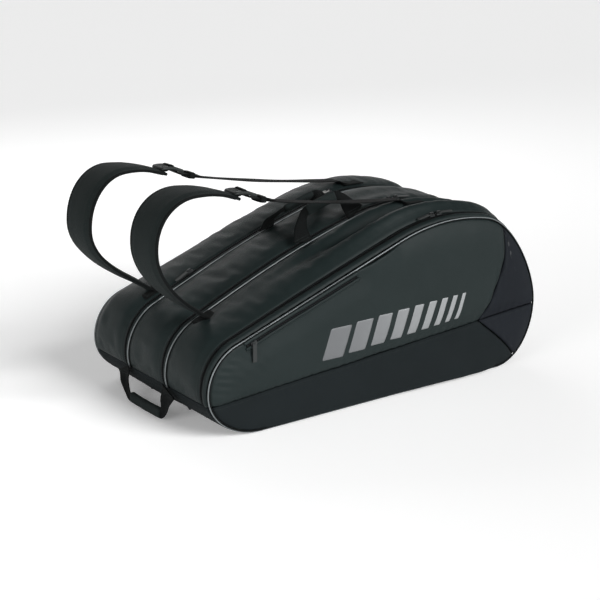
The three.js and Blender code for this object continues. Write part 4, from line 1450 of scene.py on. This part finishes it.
    # keeper loop and the sewn patches on the bag
    place = Run(path, trim=0).at(0.14)
    sides, slices, narrow = 28, 11, 0.06
    points, cloth, faces = [], [], []
    for ring in range(slices):
        off = ring / (slices - 1) - 0.5
        middle = Vector((place.x, place.z)) + Vector((place.nz, -place.nx)) * off * 0.012
        size = 1 - narrow * (2 * off) ** 4
        for wide, tall in ((0.0162, 0.0060), (0.0141, 0.0042)):
            for k in range(sides):
                c, d = (math.cos(2 * math.pi * k / sides), math.sin(2 * math.pi * k / sides))
                a = wide * size * math.copysign(abs(c) ** 0.35, c)
                b = tall * size * math.copysign(abs(d) ** 0.55, d)
                points.append(Vector((middle.x + place.nx * (b + 0.0022), y + a,
                                      middle.y + place.nz * (b + 0.0022))))
                cloth.append((a, b, 0))
    both = 2 * sides
    for k in range(sides):
        beside = (k + 1) % sides
        for ring in range(slices - 1):
            a, b = ring * both + k, ring * both + beside
            faces += [(a, b, b + both, a + both), (b + sides, a + sides, a + sides + both,
                                                   b + sides + both)]
        for base in (0, (slices - 1) * both):
            faces.append((base + k, base + beside, base + sides + beside, base + sides + k))
    piece = turnOut(addMesh(name + "_keeper", points, faces, cloth, ["webbing"]))
    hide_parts(body + "_keeper")
    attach(piece, name + "_keeper")
    host = name + "_compartment"
    for part, x, long in (("foot", spec["foot"], 0.040), ("anchor", spec["anchor"], 0.044)):
        turned = topFrame(x, y)
        rows = 16
        rings = []
        for k in range(rows + 1):
            t = k / rows
            s = (t - 0.5) * long
            drop = 0.0022 * max(0, abs(2 * t - 1) - 0.9) / 0.1
            rings.append([turned @ Vector((s, a, b + 0.0030 - drop * 0.5))
                          for a, b in flatSection(0.033, 0.0022)])
        piece = loft(f"{name}_{part}_patch", rings, ["webbing"])
        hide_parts(f"{name}_strap_{part}")
        follow(piece, host)
        half, wide = long / 2 - 0.005, 0.012
        box = [(-half, -wide), (half, -wide), (half, wide), (-half, wide), (-half, -wide)]
        up = turned.to_3x3() @ Vector((0, 0, 1))
        rows = [[(turned @ Vector((a, b, 0.0042)), up) for a, b in box]]
        rows += [[(turned @ Vector((a, b, 0.0042)), up) for a, b in (box[i], box[i + 2])]
                 for i in (0, 1)]
        stitches(f"{name}_{part}_patch_stitching", rows, host, pitch=0.0038)


buckle = {
    "width": 0.0385, "thick": 0.0062, "railAt": 0.0157, "railWidth": 0.0056, "bar": (0.0036, 0.0015),
    "rib": 0.0009, "ribsAt": (-0.0115, -0.0152, -0.0189),
}


def buildBuckle(name, body, heart, turn, rise, y):
    # ladder buckle: two plates, side rails and a middle bar that the webbing wraps
    def place(along, across, out):
        p = heart + turn * along + rise * out
        return Vector((p.x, y + across, p.y))

    def arch(x):
        return 0.0012 - 0.0042 * (x / 0.023) ** 2

    parts = []
    for label, x0, x1, lip in (("front", -0.0085, -0.0235, 0.0), ("back", 0.0085, 0.0245, 0.0016)):
        rings = []
        for k in range(25):
            t = k / 24
            x = lerp(x0, x1, t)
            out = arch(x) + lip * smooth(t, 0.35, 1.0)
            wide = buckle["width"] * (1 - 0.16 * max(0, (t - 0.62) / 0.38) ** 3)
            thick = buckle["thick"] * (1 - 0.72 * max(0, (t - 0.8) / 0.2) ** 3) * (1 - 0.4
                                                                          * max(0, (0.08 - t) / 0.08))
            rings.append([place(x, a, out + b) for a, b in flatSection(wide, thick, 4)])
        parts.append(loft(label, rings, ["buckle"]))
    for sign in (-1, 1):
        rings = [[place(lerp(-0.0105, 0.0105, k / 12), sign * buckle["railAt"] + a,
                        arch(lerp(-0.0105, 0.0105, k / 12)) + b)
                  for a, b in flatSection(buckle["railWidth"], buckle["thick"], 4)] for k in range(13)]
        parts.append(loft("rail", rings, ["buckle"]))
    oval = [(buckle["bar"][0] * c, buckle["bar"][1] * d) for c, d in circle(1, 16)]
    parts.append(loft("bar", [[place(c, lerp(-0.0145, 0.0145, k / 8), arch(0) + d - 0.0004)
                               for c, d in oval]
                              for k in range(9)], ["buckle"]))
    for x in buckle["ribsAt"]:
        rib = circle(buckle["rib"], 10)
        parts.append(loft("rib", [[place(x + c, lerp(-0.0125, 0.0125, k / 8), arch(x) + 0.0031 + d)
                                   for c, d in rib]
                                  for k in range(9)], ["buckle"]))
    piece = joinMeshes(name + "_ladder_buckle", parts)
    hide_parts(body + "_buckle")
    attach(piece, body)
    return piece


def ribbon(name, line, y, widthAt, body, material="webbing", thick=None, spacing=0.0022):
    run = Run(line, trim=0)
    steps = max(6, round(run.total / spacing))
    rings = []
    for place in run.places(steps):
        twist = 0.0004 * math.sin(place.s * 40 + y * 50)
        section = flatSection(widthAt(place.t), thick or strap["webThick"])
        rings.append([Vector((place.x + place.nx * (b + twist * a / 0.013), y + a,
                              place.z + place.nz * (b + twist * a / 0.013)))
                      for a, b in section])
    piece = loft(name, rings, [material])
    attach(piece, body)
    return piece


# Handles

handles = {
    "near": {"span": 0.127, "height": 0.057, "grip": 0.066, "lean": 10, "y": nearSeam + 0.005,
             "body": "near_handle"},
    "far": {"span": 0.127, "height": 0.057, "grip": 0.066, "lean": -45, "y": farSeam - 0.005,
            "body": "far_handle"},
    "haul": {"span": 0.156, "height": 0.057, "grip": 0.102, "body": "haul_handle"},
}


handleShape = {
    "middleX": -0.018, "bar": 0.0155, "footWidth": 0.042, "webWidth": 0.0175, "webThick": 0.0026,
    "gripTall": 0.0102, "gripDeep": 0.0058,
}


def buildHandle(name):
    spec = handles[name]
    if name == "haul":
        turned = Matrix(((0, -1, 0), (-1, 0, 0), (0, 0, -1))).to_4x4()
        frameOfLoop = Matrix.Translation((noseX - 0.004, 0, 0.063)) @ turned
    else:
        feet = [onTop(topRun.at(topShare(handleShape["middleX"] + s * spec["span"] / 2, spec["y"])),
                      spec["y"])
                for s in (-1, 1)]
        slope = math.atan2(feet[1].z - feet[0].z, feet[1].x - feet[0].x)
        middle = (feet[0] + feet[1]) / 2
        frameOfLoop = Matrix.Translation((middle.x, spec["y"], middle.z + 0.004))
        frameOfLoop = frameOfLoop @ Matrix.Rotation(-slope, 4,
                                                    "Y") @ Matrix.Rotation(math.radians(-spec["lean"]),
                                                                           4, "X")
    half, height, grip = spec["span"] / 2, spec["height"], spec["grip"] / 2
    bar = handleShape["bar"]
    right = bezier((half, 0.0), (half - 0.009, height * 0.36), (grip + 0.016, height - bar * 0.62),
                   (grip, height - bar / 2), 36)
    across = [Vector((lerp(grip, 0, k / 16), height - bar / 2 + 0.0012 * math.sin(math.pi * k / 32)))
              for k in range(1, 17)]
    halfLine = right + across
    line = halfLine + [Vector((-p.x, p.y)) for p in reversed(halfLine[:-1])]
    run = Run(line, trim=0)
    rings = []
    for place in run.places(150):
        fromFoot = min(place.s, run.total - place.s)
        wide = lerp(handleShape["footWidth"], handleShape["webWidth"], clamp(fromFoot / 0.046) ** 0.9)
        curl = 0.0011 * math.sin(place.s * 70 + half * 40) * smooth(fromFoot, 0.0, 0.02)
        ring = []
        for a, b in flatSection(wide, handleShape["webThick"]):
            cup = 0.6 * a * a / 0.02 * smooth(fromFoot, 0.005, 0.03)
            ring.append(frameOfLoop @ Vector((place.x + place.nx * a, b + curl + cup,
                                              place.z + place.nz * a)))
        rings.append(ring)
    loop = loft(name + "_handle_loop", rings, ["webbing"])
    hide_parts(name + "_handle_webbing")
    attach(loop, spec["body"])
    rings = []
    for k in range(61):
        x = lerp(-grip, grip, k / 60)
        ends = smooth(grip - abs(x), -0.001, 0.004)
        lumps = 0.0004 * folds(x, half, 0, 0.012, 3.0)
        tall = handleShape["gripTall"] * (0.84 + 0.16 * ends) + lumps
        deep = handleShape["gripDeep"] * (0.7 + 0.3 * ends) + lumps
        rise = height - bar / 2 + 0.0012 * math.cos(math.pi * x / (2 * grip))
        ring = []
        for j in range(24):
            a = 2 * math.pi * j / 24
            flap = 0.0007 * math.exp(-((j - 4) / 1.2) ** 2)
            ring.append(frameOfLoop @ Vector((x, (deep + flap) * math.copysign(abs(math.sin(a)) ** 0.8,
                                                                               math.sin(a)),
                                              rise + (tall + flap)
                                              * math.copysign(abs(math.cos(a)) ** 0.8, math.cos(a)))))
        rings.append(ring)
    wrap = loft(name + "_handle_wrap", rings, ["padFace"])
    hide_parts(name + "_handle_grip")
    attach(wrap, spec["body"])
    rows = []
    up = frameOfLoop.to_3x3() @ Vector((0, 1, 0))
    for sign in (-1, 1):
        for off in (0.004, 0.009):
            rows.append([(frameOfLoop @ Vector((sign * half + a, 0.0015, off)), up)
                         for a in (-0.014, 0.0, 0.014)])
            rows.append([(frameOfLoop @ Vector((sign * half + a, -0.0015, off)), -up)
                         for a in (-0.014, 0.0, 0.014)])
    stitches(name + "_handle_stitching", rows, spec["body"], pitch=0.0038)


# Parts that are only seen when a compartment opens

def quilted(name, seam, body, node):
    # a padded divider with stitched diamonds
    top = topRun.places(120, 0.004, 0.996)
    rows, pitch = 26, 0.055
    y = seam - 0.0023
    left, right = topRun.at(0).x, topRun.at(1).x

    def pointAt(k, j, sign):
        place = top[j]
        high = crown(place, seam) - 0.0034
        a = Vector((place.x + place.nx * high, place.z + place.nz * high))
        t = (a.x - left) / (right - left)
        v = k / rows
        p = a.lerp(Vector((lerp(-0.335, 0.305, t), 0.0085 if abs(t - 0.5) < 0.46 else 0.014)), v)
        edge = min(1, v * 14, (1 - v) * 14, t * 30 + 0.02, (1 - t) * 30 + 0.02)
        quilt = abs(math.sin(math.pi * (p.x + p.y) / pitch)) * abs(math.sin(math.pi
                                                                            * (p.x - p.y) / pitch))
        return Vector((p.x, y + sign * clamp(edge) * (0.0008 + 0.0011 * quilt ** 0.5), p.y))

    piece = twoWalls(name, len(top) - 1, rows, pointAt, lambda p: (p.x, p.z, 0))
    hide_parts(node)
    return follow(piece, body)


def pouch(name, node, body):
    # a flat pocket with a folded hem and a slightly open mouth
    low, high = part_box(node)
    middle, size = (low + high) / 2, high - low
    columns, rows = 40, 20

    def pointAt(i, j, sign):
        u, v = i / columns, j / rows
        swell = clamp(min(u, 1 - u, v) * 6) ** 0.6 * size.y * 0.42
        hem = 0.0006 if v > 0.9 else 0.0
        z = lerp(low.z, high.z, v) - 0.004 * math.sin(math.pi * u) * v * v
        return Vector((lerp(low.x, high.x, u), middle.y + sign * (swell + hem + 0.0006), z))

    piece = twoWalls(name, rows, columns, pointAt, lambda p: (p.x, p.z, 0))
    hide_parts(node)
    return follow(piece, body)


def buildInside():
    quilted("near_quilted_divider", nearSeam, "near_compartment", "near_divider")
    quilted("far_quilted_divider", farSeam, "tray", "far_divider")
    pouch("divider_pouch", "divider_pocket", "near_compartment")


def slotPouch():
    # the pocket bag behind the slot, drawn along the zip's slope
    way = (slotTo - slotFrom).normalized()
    length = (slotTo - slotFrom).length
    columns, rows = 36, 14

    def pointAt(i, j, sign):
        u, v = i / columns, j / rows
        d = lerp(0.006, length - 0.006, u)
        drop = 0.086 * v
        edge = clamp(min(u, 1 - u, 1 - v) * 8) ** 0.6
        x = slotFrom.x + way.x * d + way.z * drop
        return Vector((x, -halfDepth + 0.0052 + sign * (0.0003 + 0.0008 * edge),
                       slotFrom.z + way.z * d - way.x * drop))

    piece = twoWalls("slot_pouch", rows, columns, pointAt, lambda p: (p.x, p.z, 0))
    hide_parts("slot_pocket")
    follow(piece, "front_flap")


# Sliders and pulls keep their modelled shape, with rounded edges

def dressHardware():
    for name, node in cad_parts.items():
        kind = next((k for k in ("_slider", "_pull") if name.endswith(k)), None)
        if not kind:
            continue
        soft = node.modifiers.new("soft_edges", "BEVEL")
        soft.width = 0.0004
        soft.segments = 2
        soft.limit_method = "ANGLE"
        look = "slider" if kind == "_slider" else "pull"
        if name == "far_zip_right_pull":
            look = "pullTip"
        node.data.materials.clear()
        node.data.materials.append(finish[look])


finish = makeFinishes()
buildStudio()
print("studio and finishes ready")
buildGussets()
buildFlaps()
print("top fabric ready")
buildTopZips()
buildPiping()
print("zips and piping ready")
buildFaces()
buildBase()
print("faces and base ready")
buildSlotZip()
buildGraphic()
print("slot zip and bars ready")
for strapName in straps:
    buildStrap(strapName)
print("straps ready")
for handleName in handles:
    buildHandle(handleName)
buildInside()
slotPouch()
dressHardware()
print("handles, inside and hardware ready")
